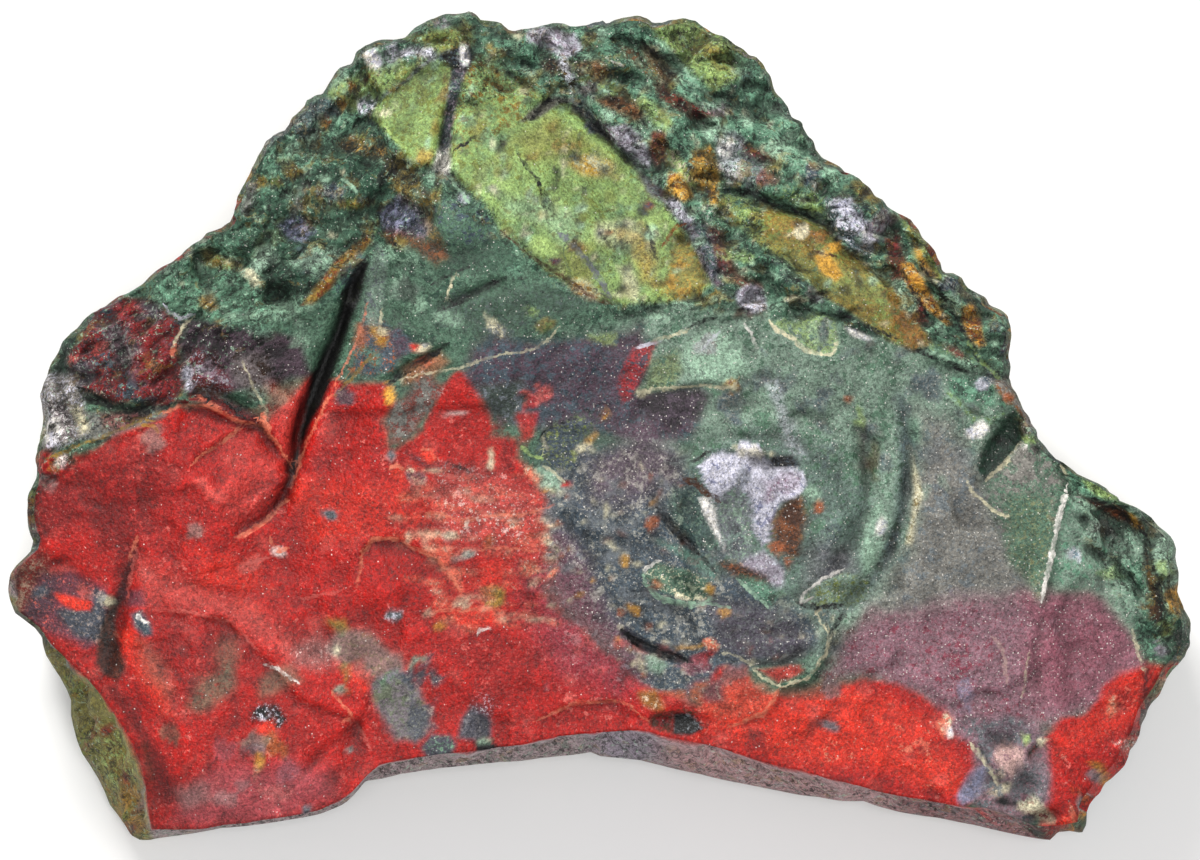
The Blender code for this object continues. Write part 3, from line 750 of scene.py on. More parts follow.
FAN = path("700,330 200,0 100,70 -120,200 -120,20 -60,-140")
LOWER_LEFT = path("0,440 300,-50 240,50 20,180 380,80 20,100 -810,30")

FIELDS: list[Mark | Sprinkle] = [
    Mark(Tone.MOSS, WHOLE, soft=5, rag=0, glint=0.3),
    Mark(Tone.TEAL, RIND_TOP, cover=0.45, soft=20, rag=20),
    *paint("""
        sage .9 22 16 *.6: 560,330 140,-30 140,15 90,35 80,30 35,65 15,115 -60,40 -100,10 -40,40 -100,-10
            -60,-80 -10,-80 -70,-40 -60,0
        moss 1 14 10: 380,300 100,-30 80,30 60,20 -60,15 -90,10 -70,0
        drab .9 20 14 *.8: 915,400 45,20 25,60 25,40 40,80 -50,40 -100,10 -50,-10 30,-50 25,-50
        mauve 1 14 12 *.8: 880,610 80,-10 80,-5 70,-5 30,50 10,50 -50,20 -40,20 -60,10 -40,10 -30,-40 -50,-25
            -50,-10 10,-45
        wine .7 22 14: 1030,600 70,-10 30,50 -10,40 -60,35 -30,-25
        plum 1 9 9: 470,345 90,-5 80,-12 10,17 -10,47 60,-2 5,30 -15,25 -70,-5 -80,-10 -40,-5 -22,-25 -16,-25
    """),
    Mark(Tone.SLATE, GRANITE, cover=1, soft=14, rag=14, glint=0.6),
    *paint("""
        wine .25 18 12: 585,455 55,-15 50,15 -10,35 -40,10 -50,0
    """),
    Mark(Tone.BRICK, RED_BREAK, cover=1, soft=4, rag=10, glint=0.07),
    Mark(Tone.BRICK, RED_TIP, cover=1, soft=4, rag=6, glint=0.05),
    *paint("""
        wine .6 20 14: 520,570 40,-30 40,60 45,60 -25,40 -50,-20 -30,-40
        scarlet .8 12 10: 700,690 60,5 100,-10 70,35 30,70 -160,-30 -100,-25
    """),
    Sprinkle(Tone.SAGE, FAN, 90, 8, 11, 0.5),
    Sprinkle(Tone.SLATE, FAN, 90, 9, 12, 0.5),
    Sprinkle(Tone.OCHRE, GRANITE, 30, 2.2, 13, 0.7),
    Sprinkle(Tone.CREAM, GRANITE, 120, 2.2, 14, 0.7),
    Sprinkle(Tone.SIENNA, GRANITE, 40, 2.4, 15, 0.7),
    Sprinkle(Tone.PITCH, GRANITE, 80, 6, 16, 0.6),
    Sprinkle(Tone.STORM, GRANITE, 60, 9, 17, 0.6),
    Sprinkle(Tone.ROSE, LOWER_LEFT, 260, 6, 18, 0.3),
    Sprinkle(Tone.CRIMSON, LOWER_LEFT, 160, 10, 19, 0.3),
    Sprinkle(Tone.FOREST, RIND_TOP, 150, 9, 20, 0.6),
    Sprinkle(Tone.MINT, RIND_TOP, 150, 6, 21, 0.6),
    Sprinkle(Tone.UMBER, RIND_TOP, 90, 6, 22, 0.6),
    Sprinkle(Tone.BRONZE, RIND_TOP, 90, 8, 23, 0.5),
]

# The lobe at the left tip: a mottled block over a red break with a leaf-shaped scar
# Painted shade: the maroon and bog loops down the scar's right side (from 134,546 and 112,600) are shade in
# its valley,
# and the drab loop below the mottled block (from 84,412) is partly the stone's grey and partly painted shade
# of a facet in shadow.
LEFT_LOBE = paint("""
    garnet 1 4 5 slate/.42: 118,292 32,8 32,25 -6,25 8,35 -12,19 -60,-2 -36,-18 -32,-9 16,-42 30,-33
    crimson .45 12 9: 120,315 45,10 13,65 -28,10 -25,-30 10,-35
    slate .7: 118,342,14,18,20
    slate .8: 150,312,16,9 80,372,9,15
    crimson .7: 125,310,15,8
    rose .6: 100,348,8,6 72,358,7,5
    forest 1 3 3: 40,380 12,-35 23,-23 7,13 -16,20 4,20 -14,5
    drab .8 3 3: 84,412 36,2 42,-6 4,8 -26,8 -40,18 -16,0
    crimson .5 5 4: 100,414 40,-2 10,5 -30,13 -16,-4
    drab 1 4 4 quartz/.35 *1: 40,372 32,4 12,24 6,40 -20,8 -24,2 -10,-40
    plum .7 5 5 milk/.3: 48,405 18,-3 10,23 -2,15 -20,4
    cream 1 3 3: 70,407 10,1 8,12 2,14 -10,2
    milk 1: 54,427,7,8 62,463,6,10 46,484,9,5,-30
    forest 1: 72,462,6,11
    crimson .7 16 12: 50,455 110,-15 12,40 -20,60 -22,12 -30,-22 -40,0
    maroon .55 12 8: 92,500 36,5 12,25 -6,26 -16,4 -22,-15
    crimson .9 4 4 rose/.15: 20,480 26,-4 26,14 4,22 -26,18 -14,18 -12,-23
    maroon .8: 38,526,9,12
    bog .7 6 8 moss/.5: 0,600 12,-44 30,-4 20,26 -10,28 -32,12
    plum .8 7 7 rose/.2: 40,572 32,-2 32,18 4,52 -18,20 -40,-25 -22,-23
    slate .9 5 5: 58,612 46,-16 2,26 -8,21 -23,-3
    slate .8: 42,592,9,6 98,594,8,8
    scarlet 1 2 2: 52,592 40,10 -1,8 -16,0 -15,-8
    brick .9 3 4: 66,648 32,-2 -2,18 -10,6 -14,-12
    rose .4: 64,570,12,5
    rose .6: 84,590,8,5,-40
    maroon 1 2 2 pitch/.3: 134,546 -21,56 9,4 15,-52
    bog .9 3 3 umber/.4: 112,600 -15,45 -1,17 8,14 14,4 6,-12 -10,-46 6,-20
    cream 1: 109,602,5,4
    plum .7 4 4: 124,592 18,-2 4,14 -18,2
    slate 1 3 3: 131,614 10,-3 11,14 2,11 -11,0 -9,-10
    scarlet .55 4 4: 117,633 13,-7 10,14 25,50 10,30 -15,-5
    moss .35 9 8 umber/.3: 140,640 16,15 16,35 -6,10 -16,-25
    rose .4 12 9: 140,560 100,40 60,40 -10,20 -70,-45 -70,-10
    crimson .5 8 8: 160,620 62,5 28,25 14,30 -34,10 -60,-30
    moss .65 8 8 umber/.4: 188,706 12,-24 28,-14 8,16 -8,16 -28,14
    moss .4 10 8 umber/.4: 222,640 12,0 2,20 -10,14 -8,-14
    moss .6 7 7 umber/.35: 262,684 8,-16 22,-4 10,16 -40,14
    drab .5 10 8 milk/.2: 282,645 36,-9 20,16 -6,16 -36,0
    ink 1 2 3 quartz/.3 *1: 249,714 11,-9 16,1 11,12 -8,12 -15,-8 -10,-1
    scarlet 1: 265,729,8,6
    ash .7: 254,740,10,7
    bronze .4: 274,748,8,12
    storm .8: 256,750,8,5
    amber 1: 259,762,4,9,12
    coral 1: 257,780,4,10,12
    rose .9: 274,793,12,7
    moss .5: 172,735,10,7
    ash .45: 226,799,11,8
    drab .45: 246,786,9,7
    mauve .35: 290,772,14,9 228,756,16,9,-50
    storm 1: 307,810,8,6
    maroon .75 5 4: 106,684 24,15 38,66 8,25 -6,18 -14,-2 -6,-36 -12,-32
    umber .6 4 4: 138,742 10,0 8,33 -4,20
    mauve .35 14 10: 176,792 54,-30 100,6 14,32 -144,32 -32,-6
    drab .5 8 8: 168,792 32,-12 15,20 -30,12
    scarlet .35 12 15.4: 230,575,40,22,-20
""")

# The bulb beside the fissure, and the rough ground above it
# Painted shade: the maroon loop in the recess over the bulb (from 188,390), the crimson loop in the valley at
# its lower right (from 272,470),
# the black loop of the fissure (from 366,256) and the maroon loop at the fissure's left side (from 300,396).
BULB = paint("""
    plum .95 6 7 ink/.35: 188,320 62,2 50,18 12,36 -87,14 -35,-10 -8,-35
    garnet .7 6 6 quartz/.25: 190,350 22,6 16,34 -16,6 -24,-6
    drab .45 7 8 umber/.35: 236,355 26,5 10,30 -17,8 -15,-18
    ink .8: 275,352,12,8
    ink .7: 215,350,12,7
    quartz .9: 187,372,4,7 190,388,3,6
    lilac .5: 208,372,9,6
    lilac .6: 222,380,8,5
    rose .35 8 8: 268,388 42,-8 -18,80 -16,-28
    maroon 1 2 2 ink/.4: 188,390 27,5 25,11 24,14 0,7 -26,-7 -23,-14 -27,-4
    crimson .8 5 4: 272,470 18,16 -14,22 -24,20 -16,6 26,-28
    rose .22 12 8: 205,430 45,5 26,30 -14,35 -27,20 -20,-20 13,-30
    ash .4: 155,440,10,14,20
    ash .5: 197,530,7,8,-40
    rose .4: 150,575,8,6
    milk .7: 280,553,7,3,-30
    rose .8: 250,565,12,5,30
    ink 1 2.5 4 bog/.25 *0: 366,256 -16,24 -9,20 -7,30 -23,45 -23,109 5,-4 10,-34 40,-91 25,-89
    maroon .8 3 2: 300,396 6,-1 -13,67 -7,12 4,-44
    crimson .3 8 6: 318,425 22,-25 12,20 -22,60 -24,40 -10,-20 8,-40
""")

# The middle: red wedges and crusts against a dark, speckled band
CENTRE = paint("""
    slate 1 5 6 sienna/.2: 366,318 20,4 14,23 -5,25 -23,10 -22,-8 2,-27
    sienna .7: 358,338,6,8
    teal .5: 372,362,8,12,30
    ochre 1: 381,338,6,10,20
    cream .7: 383,332,4,4
    plum 1: 402,342,10,14,20
    scarlet 1 2 2: 411,345 9,1 4,6 -10,-1
    cream 1: 424,348,9,4,30
    forest 1: 411,360,8,5
    rose .7: 424,362,8,5,40
    sienna .6 5 5: 404,368 36,-16 10,10 -18,14 -28,8
    garnet .8 6 9 drab/.45: 394,446 -10,-24 14,-24 32,-20 14,14 -32,48
    slate .8: 345,398,12,7
    amber 1: 389,395,5,8
    brick 1 2 3: 459,374 37,56 -26,20 -40,-10 -9,-13 17,-27
    milk .6: 456,414,8,2
    forest .7 6 6 storm/.3: 478,385 42,-5 10,20 -18,25 -12,0 -15,-20
    rose .75: 538,398,11,9,30
    brick .85 3 5: 516,414 22,-2 -4,26 -12,4
    crimson .8 3 4: 498,440 10,-10 8,16 0,24 -16,6
    slate .85 5 7 olive/.3: 545,432 30,-18 25,4 -20,32 -5,18 -27,-2 -12,-16
    ochre .8: 604,416,3,5
    ochre .7: 590,440,8,3,45
    cream 1: 582,448,6,3,30
    mint .8 3 3: 536,466 16,4 10,14 -6,8 -16,-4 -8,-14
    coral .8 2 3: 520,464 10,2 12,12 -4,8 -14,-12
    ochre .8: 546,491,8,3
    crimson 1: 566,484,5,4
    storm .8 cream/.3: 415,478,14,7,-10
    garnet .9 3 4: 400,448 38,14 32,4 12,12 -20,-4 -26,2 -22,-14
    scarlet 1 2 2: 420,447 10,1 8,12 -10,4 -8,-8
    scarlet .9 2 3: 388,472 8,-8 10,6 -2,12 -12,-2
    drab 1: 391,456,6,5
    cream .8 2 2: 488,446 5,0 2,16 -2,10 -7,-4 3,-10
    rose .45 14 12 milk/.2 *.9: 436,472 64,-2 40,20 5,70 -105,-30 -10,-35
    scarlet .4 10 10: 300,480 120,2 20,23 -15,30 -25,-5 -50,15 -40,-5
    brick .9 3 4 crimson/.2: 360,585 4,-33 11,-9 25,0 36,17 26,38 -62,12
    coral .45 3 5 rose/.3: 434,557 16,5 12,16 2,18
    storm 1: 328,514,7,4 448,538,6,5
    cream .7: 408,538,3,5
    sienna .6: 530,536,6,4
    sienna .7: 488,541,4,6
    ash 1: 468,555,10,4,10
    scarlet .5 6 5: 462,570 18,-10 30,0 10,30 -20,-4 -30,4
    bronze 1 2 2 ochre/.5: 482,588 14,-2 8,6 -1,12 -9,5 -9,-6
    scarlet .8 3 4: 436,616 34,-10 34,4 -4,10 -30,6 -30,-2
    cream .6: 431,613,5,3
    amber .8: 439,627,4,3
    cream .7: 462,604,8,5
    storm 1 2 2 quartz/.25: 384,618 4,-8 14,1 1,7 -7,4
    cream .9: 552,544,9,4,-30
    cream .7: 535,582,5,3,30
    coral 1: 550,575,9,4,25
    cream .6: 548,606,5,3
    coral .8: 530,568,7,5
    cream .7: 606,512,2,5 613,546,6,3,-30
    amber .8: 625,562,3,4
    sienna .8: 650,524,6,6
    bronze .9 4 4: 325,620 20,0 3,10 -6,6
    drab .75 6 9 moss/.4: 334,634 18,-2 24,8 26,15 4,13 -26,16 -35,-16 -15,-18
    cream .7: 338,650,4,6
    storm .9 5 8 moss/.4: 372,684 28,-16 20,20 13,28 -2,14 -16,15 -20,-3 -19,-38
    slate .7: 418,720,14,16
    slate .9: 420,670,14,12
    sage .9 2 2: 408,668 4,-12 12,0 6,6 -12,0 -6,8
    slate .95 4 4 storm/.4: 458,738 4,-20 12,-12 10,0 8,16 0,16 -16,4
    slate .95 3 4 teal/.3: 420,748 12,-14 18,1 8,10 -8,11 -20,6
    ink 1 2 2: 474,742 16,-2 13,8 -3,4 -24,0
    mint 1: 482,740,7,3
    garnet .6 4 4 quartz/.25: 470,696 20,-4 10,14 -12,10 -16,-10
    bronze .6: 345,678,5,14
    sage .8: 340,688,6,7
    scarlet .5: 360,676,10,14
    crimson .7 3 3: 346,722 12,2 10,18 2,16 -18,-6
    drab 1: 350,749,7,6
    slate .6: 547,684,6,7
    crimson .35 10 8: 462,640 38,-4 40,19 -10,35 -40,-10 -24,-15
""")

# The quartz eye and the greenish band round it
QUARTZ_EYE = paint("""
    brick .7 4 4 plum/.35: 634,347 21,-4 -5,17 -26,40 -4,-12
    sage 1 2 3: 654,352 36,-30 28,-4 18,27 7,27 -8,16 -26,-5 -71,10 12,-21
    slate .45 18 12 moss/.45 *.8: 680,440 80,-15 80,25 40,70 -30,70 -90,10 -70,-40
    mint .75 8 6: 688,345 27,-20 20,20 7,25 -9,16 -33,-6 -16,-15
    olive .6 6 5: 655,362 21,-10 4,18 -8,16 -27,4
    lilac .5: 706,348,8,12
    ochre .7: 732,384,7,7
    cream .8: 643,394,6,5
    pitch .8 4 5 plum/.4: 642,404 14,-9 44,-5 12,5 -10,25 -30,8
    quartz .4 5 7 storm/.45 *1: 764,380 14,0 14,35 4,25 10,16 -16,-6 -14,-25
    forest .6 6 6: 672,484 28,6 16,30 6,36 -22,-4 -24,-26 -12,-21
    quartz 1 1.5 5 *1: 696,466 24,-17 15,3 7,-10 16,3 18,25 24,0 6,12 -10,12 -16,8 -8,16 -2,24 -8,6 -8,-18
        -10,-40 -9,-8 -7,14 -10,6
    quartz .9 2 5 steel/.3: 704,466 14,-13 17,2 3,13 -10,26 -10,6
    lilac .7: 782,484,16,10,10
    cream .7: 755,452,14,7,-10
    pitch 1 2 3: 768,458 8,-5 20,5 4,8 -18,2 -12,-2
    slate .7: 742,478,6,10
    storm .95 3 5 sage/.4: 718,502 18,-14 12,10 6,32 -2,30 -24,0 -12,-28
    pitch .5: 738,535,12,16
    milk .8 2 3: 701,498 7,0 8,17 4,20 10,21 -8,-6 -16,-34
    umber .95 4 6 rust/.45: 771,522 14,-16 15,-7 4,21 0,36 -9,7 -23,-15
    umber .8: 791,515,9,12,20
    sienna 1: 781,549,9,7,-30
    sienna .9: 787,560,3,6
    lilac .8 4 5 quartz/.3: 738,562 26,-12 22,18 -4,18 -22,-6
    umber .9 3 4 sienna/.35: 714,560 21,0 30,15 5,8 -25,-4 -23,-9
    teal .8 3 3: 740,575 26,7 12,13 -6,13 -28,-20
    slate .95 2 3: 714,580 21,-2 36,32 -31,-2 -26,-12
    teal .55 5 4: 655,540 27,5 30,15 8,22 -20,-7
    moss .9 3 3 cream/.2: 642,575 14,-13 34,6 20,12 0,20 -20,4 -30,-12
    forest .8 3 3: 668,574 22,0 14,16 -4,10 -20,-6
    sienna .7 3 5: 665,552,7,6
    sienna .8: 655,582,7,3,-30
    amber .8 2 3: 711,590,4,4
    sienna .9: 847,398,5,5
    sienna 1: 820,507,5,6
    mint .8: 812,490,7,9,30
    lime .7 3 4 sage/.5: 770,322 15,-4 11,4 19,-10 21,6 1,27 -4,10 -18,-1
    slate .9: 824,334,6,9
    sage .5 4 4: 800,325 18,-7 12,27 -15,3
    forest 1 2 2 ink/.5: 832,308 54,22 2,7 -22,-1 -20,-6
    umber .35: 862,440,5,28,3
    bronze .35: 873,455,5,18
    lime .6: 859,415,6,12
    mint .55 4 5: 863,520 17,-17 9,22 -7,35 -16,16 -5,-26
    milk .8: 881,527,3,8
    slate .75 7 6 pitch/.4: 894,390 14,5 6,45 -5,60 -6,35 -15,30 -26,40 -4,-7 22,-38 13,-40 5,-50
    cream .75 3 4 bronze/.35: 909,448 6,7 8,41 -11,49 -7,0 9,-55
    teal .5 4 4: 906,418 14,-3 4,25 -10,10 -7,-10
    plum .45 10 8 lilac/.25: 800,545 50,-5 8,45 -28,15 -30,-5
    sage .95 2 3 olive/.35: 802,600 10,-14 33,-14 23,8 -2,18 -20,8 -30,1
    sage .6 4 3: 802,608 18,2 10,28 -4,17 -14,21 -10,-8 16,-28
    plum .55 10 8: 700,600 90,10 25,30 -15,24 -50,-4 -30,-20
    ink .6 4 4: 750,663 40,-7 10,-16 6,10 -12,14 -38,4
    brick .85 3 4: 757,669 43,-5 6,8 -28,14
    coral .25 8 6: 720,680 25,-8 33,18 -6,16 -27,14 -23,2 -22,-12
    sage .9 3 3: 644,655 11,-3 13,13 -8,9 -12,-4
    cream .6: 640,662,6,9,20
    amber .8: 688,647,9,3
    coral 1: 714,646,6,5
    crimson 1: 709,656,9,5,20
    ochre .7: 724,613,5,4
    ochre .8: 634,611,6,3,-30
    sienna .7: 701,691,7,9
    bronze .7 4 5 cream/.3: 640,694 15,-2 9,18 -9,2 -11,-7
    slate .7 5 5: 700,690 20,-10 2,20 -16,2
    wine .5: 700,665,14,8
    umber 1 2 2 crimson/.4: 646,722 9,-9 19,-2 -2,23 -17,-4
    ink 1 2 2 storm/.25: 672,711 18,1 12,10 2,8 -14,5 -18,0
    crimson .7: 757,742,8,8
    storm .9: 829,726,6,5
    crimson .8: 845,781,10,4
    storm .6: 829,689,10,6
""")

# The right tip: a mauve slope, a leaf-shaped scar, a chipped corner and a crusted rim
# The scar's bog loop (from 1018,406) is partly the stone's dark green and partly painted shade of a face
# turned from the light.
RIGHT_TIP = paint("""
    forest .9 4 5 teal/.4 *1: 940,372 50,3 22,25 -7,10 -55,-12
    quartz .7: 982,386,6,8
    mint .8: 996,396,3,7
    slate 1: 990,378,7,5
    mint .85 3 3 leaf/.4: 938,384 10,6 28,26 16,3 14,-8 -2,6 -16,9 -18,-6
    milk .85: 981,431,8,6,10
    moss .9 6 6 drab/.5: 1022,440 18,4 28,34 -26,124 -30,-42 -26,-60 -2,-18 22,-18
    moss .6 10 8 olive/.3: 1010,500 46,-5 -6,55 -12,40 -24,-30
    bog 1 1 1 forest/.6: 1018,406 10,12 -4,18 -10,16 -28,29 -8,-11 3,-18 23,-32
    forest .9: 1010,425,10,14,-35
    drab 1: 1030,425,6,12,30
    lime 1: 1033,439,5,4
    sage .9 7 8 teal/.35: 1066,490 34,10 40,30 10,30 -2,40 -10,40 -48,-50 -35,0 1,-45
    mint .7: 1088,508,9,7
    quartz .6: 1073,552,8,6
    lime .5: 1112,574,10,8
    pitch .5: 1102,585,9,8
    teal .5: 1130,575,12,16
    drab .6: 1102,530,14,7,-30
    teal .9 3 4: 1068,474 12,-2 32,22 -4,8 -22,-6 -16,-12
    lime .85 3 4 leaf/.4: 1082,474 22,6 18,14 -4,8 -20,-4 -10,-10
    bronze .8: 1094,481,7,3,-20
    umber 1 2 3 ink/.45: 1078,495 42,12 20,13 12,20 -12,-10 -44,-22
    sienna 1: 1118,514,9,5,-20
    amber 1: 1134,520,7,4,-45
    sage .8: 1140,512,14,6,-35
    sage .9 4 4 mint/.35: 1146,524 14,0 20,21 2,40 -16,5 -14,-30
    cream .8: 1154,528,7,4,-45
    lime .6: 1162,566,7,10
    drab .7: 1176,575,5,12
    ink .95 3 3 umber/.4: 1142,540 8,8 4,32 12,24 0,22 -8,-4 -8,-26 -6,-26
    ochre 1 3 4 bronze/.35: 1164,592 14,-8 10,16 -6,18 -14,-8
    umber .9: 1152,612,8,10
    forest .9 4 4 teal/.4: 1134,618 16,2 16,20 -6,24 -16,-4 -8,-20
    lilac .8: 1162,650,7,8
    lime .6: 1166,630,6,9
    forest .9 3 3 drab/.3: 1172,632 23,-12 1,30 -16,14 -10,-10
    scarlet .45 10 8: 1120,675 40,-7 -10,32 -35,30 -55,30 -10,-20 50,-35
    crimson .6 4 4: 1108,690 20,-2 6,18 -18,6
    maroon .7: 1146,682,4,18
    coral .7: 1162,690,5,14,-20
    coral .8: 1112,708,3,7
    rose .95 2 3 milk/.35: 1118,742 10,-4 16,0 -8,14 -10,5
    ochre .85 3 3: 1090,762 10,0 12,20 -8,4
    storm .8: 1093,770,5,8,20
    bronze .8: 1076,792,6,5
    storm .9: 1080,803,5,7
    crimson .7: 1136,728,6,12,-30
    mauve .9 5 6 storm/.35: 950,720 90,-5 6,30 2,55 -18,22 -45,-16 -20,-16 13,-24 -3,-21
    slate .5 6 9 storm/.45: 985,726 25,-10 22,6 8,18 -46,5 -4,17 10,23 -10,-5 -12,-28
    ashrose 1 2 2: 992,756 4,-10 12,-4 18,10 -4,12 -10,14 -12,-10
    storm .9 4 4 mauve/.35: 1010,790 12,-24 18,-1 6,20 -6,21 -22,0
    steel .95 3 3: 976,772 8,-4 -4,22 -18,14 -4,-7
    steel .5 *1: 967,690,8,14
    milk 1: 949,731,4,6,30
    coral .8: 944,726,6,8
    lime 1: 1028,737,5,5
    cream 1: 1040,743,5,4
    bog 1 1.5 1.5 crimson/.3: 1026,758 6,-14 7,-3 -3,11 -7,10
    cream .8: 1003,789,7,4,25
    ink 1: 1008,803,8,5,-20
    cream .5: 1000,775,5,4
    cream .85 3 5 crimson/.3: 1020,806 14,-6 22,22 -12,-2
    coral .8: 1074,818,5,8,-10
    milk .7: 1083,806,3,7,-20
    scarlet .8: 1064,818,8,8
""")

# The rind, from the left shoulder over the top
RIND_LEFT = paint("""
    forest .75 10 10: 250,200 80,-10 46,10 -6,40 -130,22 -15,-32
    moss 1 6 7 teal/.35: 150,270 90,-8 60,38 0,30 -70,-5 -40,-10 -40,-17 -30,-2
    teal .8 4 4: 112,300 38,-28 16,-4 -6,17 -24,13
    mint .7 5 4: 212,296 18,16 32,0 38,-16 -4,10 -34,14 -34,0
    teal .6 4 4: 236,318 32,4 4,14 -16,0
    mint .8: 209,293,9,4,-20
    pitch .7 5 5 forest/.45: 256,292 6,-22 18,-10 36,26 -16,14 -30,0
    sage .9 3 4 mint/.4: 250,262 8,-14 12,-2 8,12 -16,14 -12,2
    mint .7 4 8 sage/.5: 292,262 20,-12 20,-2 8,10 -18,18
    cream .7: 251,277,10,5,-40
    bronze .7 4 6: 210,256,8,8
    bronze .5: 228,265,10,7
    bronze 1 2 2 rust/.4: 366,234 6,6 -42,50 -18,16 -12,0 38,-46
    ochre .6 4 6: 212,306,5,10,20
    mint .4 4 6: 290,312,14,6,20 300,330,6,14
    slate 1 4 5 steel/.45 *1: 280,226 12,-10 16,4 7,12 -9,10 -18,-2
    slate 1 4 5 steel/.45 *1: 380,212 20,-14 18,8 12,22 -6,10 -24,-2 -16,-8
    umber .65 6 12 bronze/.5: 388,162 12,-2 40,36 -6,18 6,26 -10,0 -6,-26 -28,-32
    umber .8 5 9 rust/.45: 386,232 26,2 28,10 8,14 -12,6 -20,-14 -22,-6
    umber .7 5 8 ochre/.35: 338,142 12,-4 35,14 -7,6 -34,-6
    umber .6 4 7 bronze/.5: 317,147,8,9 294,166,6,7 304,206,5,8
    bronze .9: 273,182,12,7
    bronze .9: 355,203,14,4
    rust 1: 326,177,6,3 326,120,8,5
    forest .95 4 4: 310,180 12,-20 28,-8 28,8 16,22 -14,16 -30,2 6,-6 -11,-10 -20,6
    ink .85: 386,178,7,15,-30
    slate 1: 334,192,14,8
    moss .95 3 4 slate/.3: 434,204 16,-8 26,4 14,12 8,22 -28,12 -24,-6 -10,-18
    forest .7 5 5: 440,262 60,-18 22,18 -17,14 -35,-8 -30,6
    teal .5: 512,268,12,5
    pitch .4 12 10 storm/.3: 420,312 40,-16 60,-12 80,16 -40,18 -60,12 -50,-8
    mint .5 4 9 moss/.45: 384,250 20,-2 20,14 -10,10
    mint .5 3 6 moss/.4: 396,280,10,5 420,305,8,6
    sage .6: 402,290,14,8
    ink .6: 408,290,7,10
    slate .8 3 3 teal/.3: 330,290 18,-28 12,-12 4,8 -18,28 -10,12
    sage .7 4 3 storm/.35: 364,320 6,-54 8,-20 10,16 -10,68
    cream .8: 493,325,10,4,-50
    lime .6 3 5 sage/.4: 530,312,6,5,-30 605,337,10,4
    mint .7: 660,317,8,4
    mint .4 3 6: 445,318,14,6
    bronze .6: 545,325,10,5,30
    slate .8 4 5: 295,110 21,-15 20,9 4,12 -20,2 -8,22 -12,2 -10,-14
    mint .6 4 4: 332,80 10,-10 10,8 -4,22 -12,-4
    drab .7 4 4 lilac/.3: 236,200 10,-20 10,4 -4,20 -6,10
    umber .5: 300,190,10,6,40
    teal .4: 276,150,14,18,30
    drab .5: 300,200,5,16,-20
""")

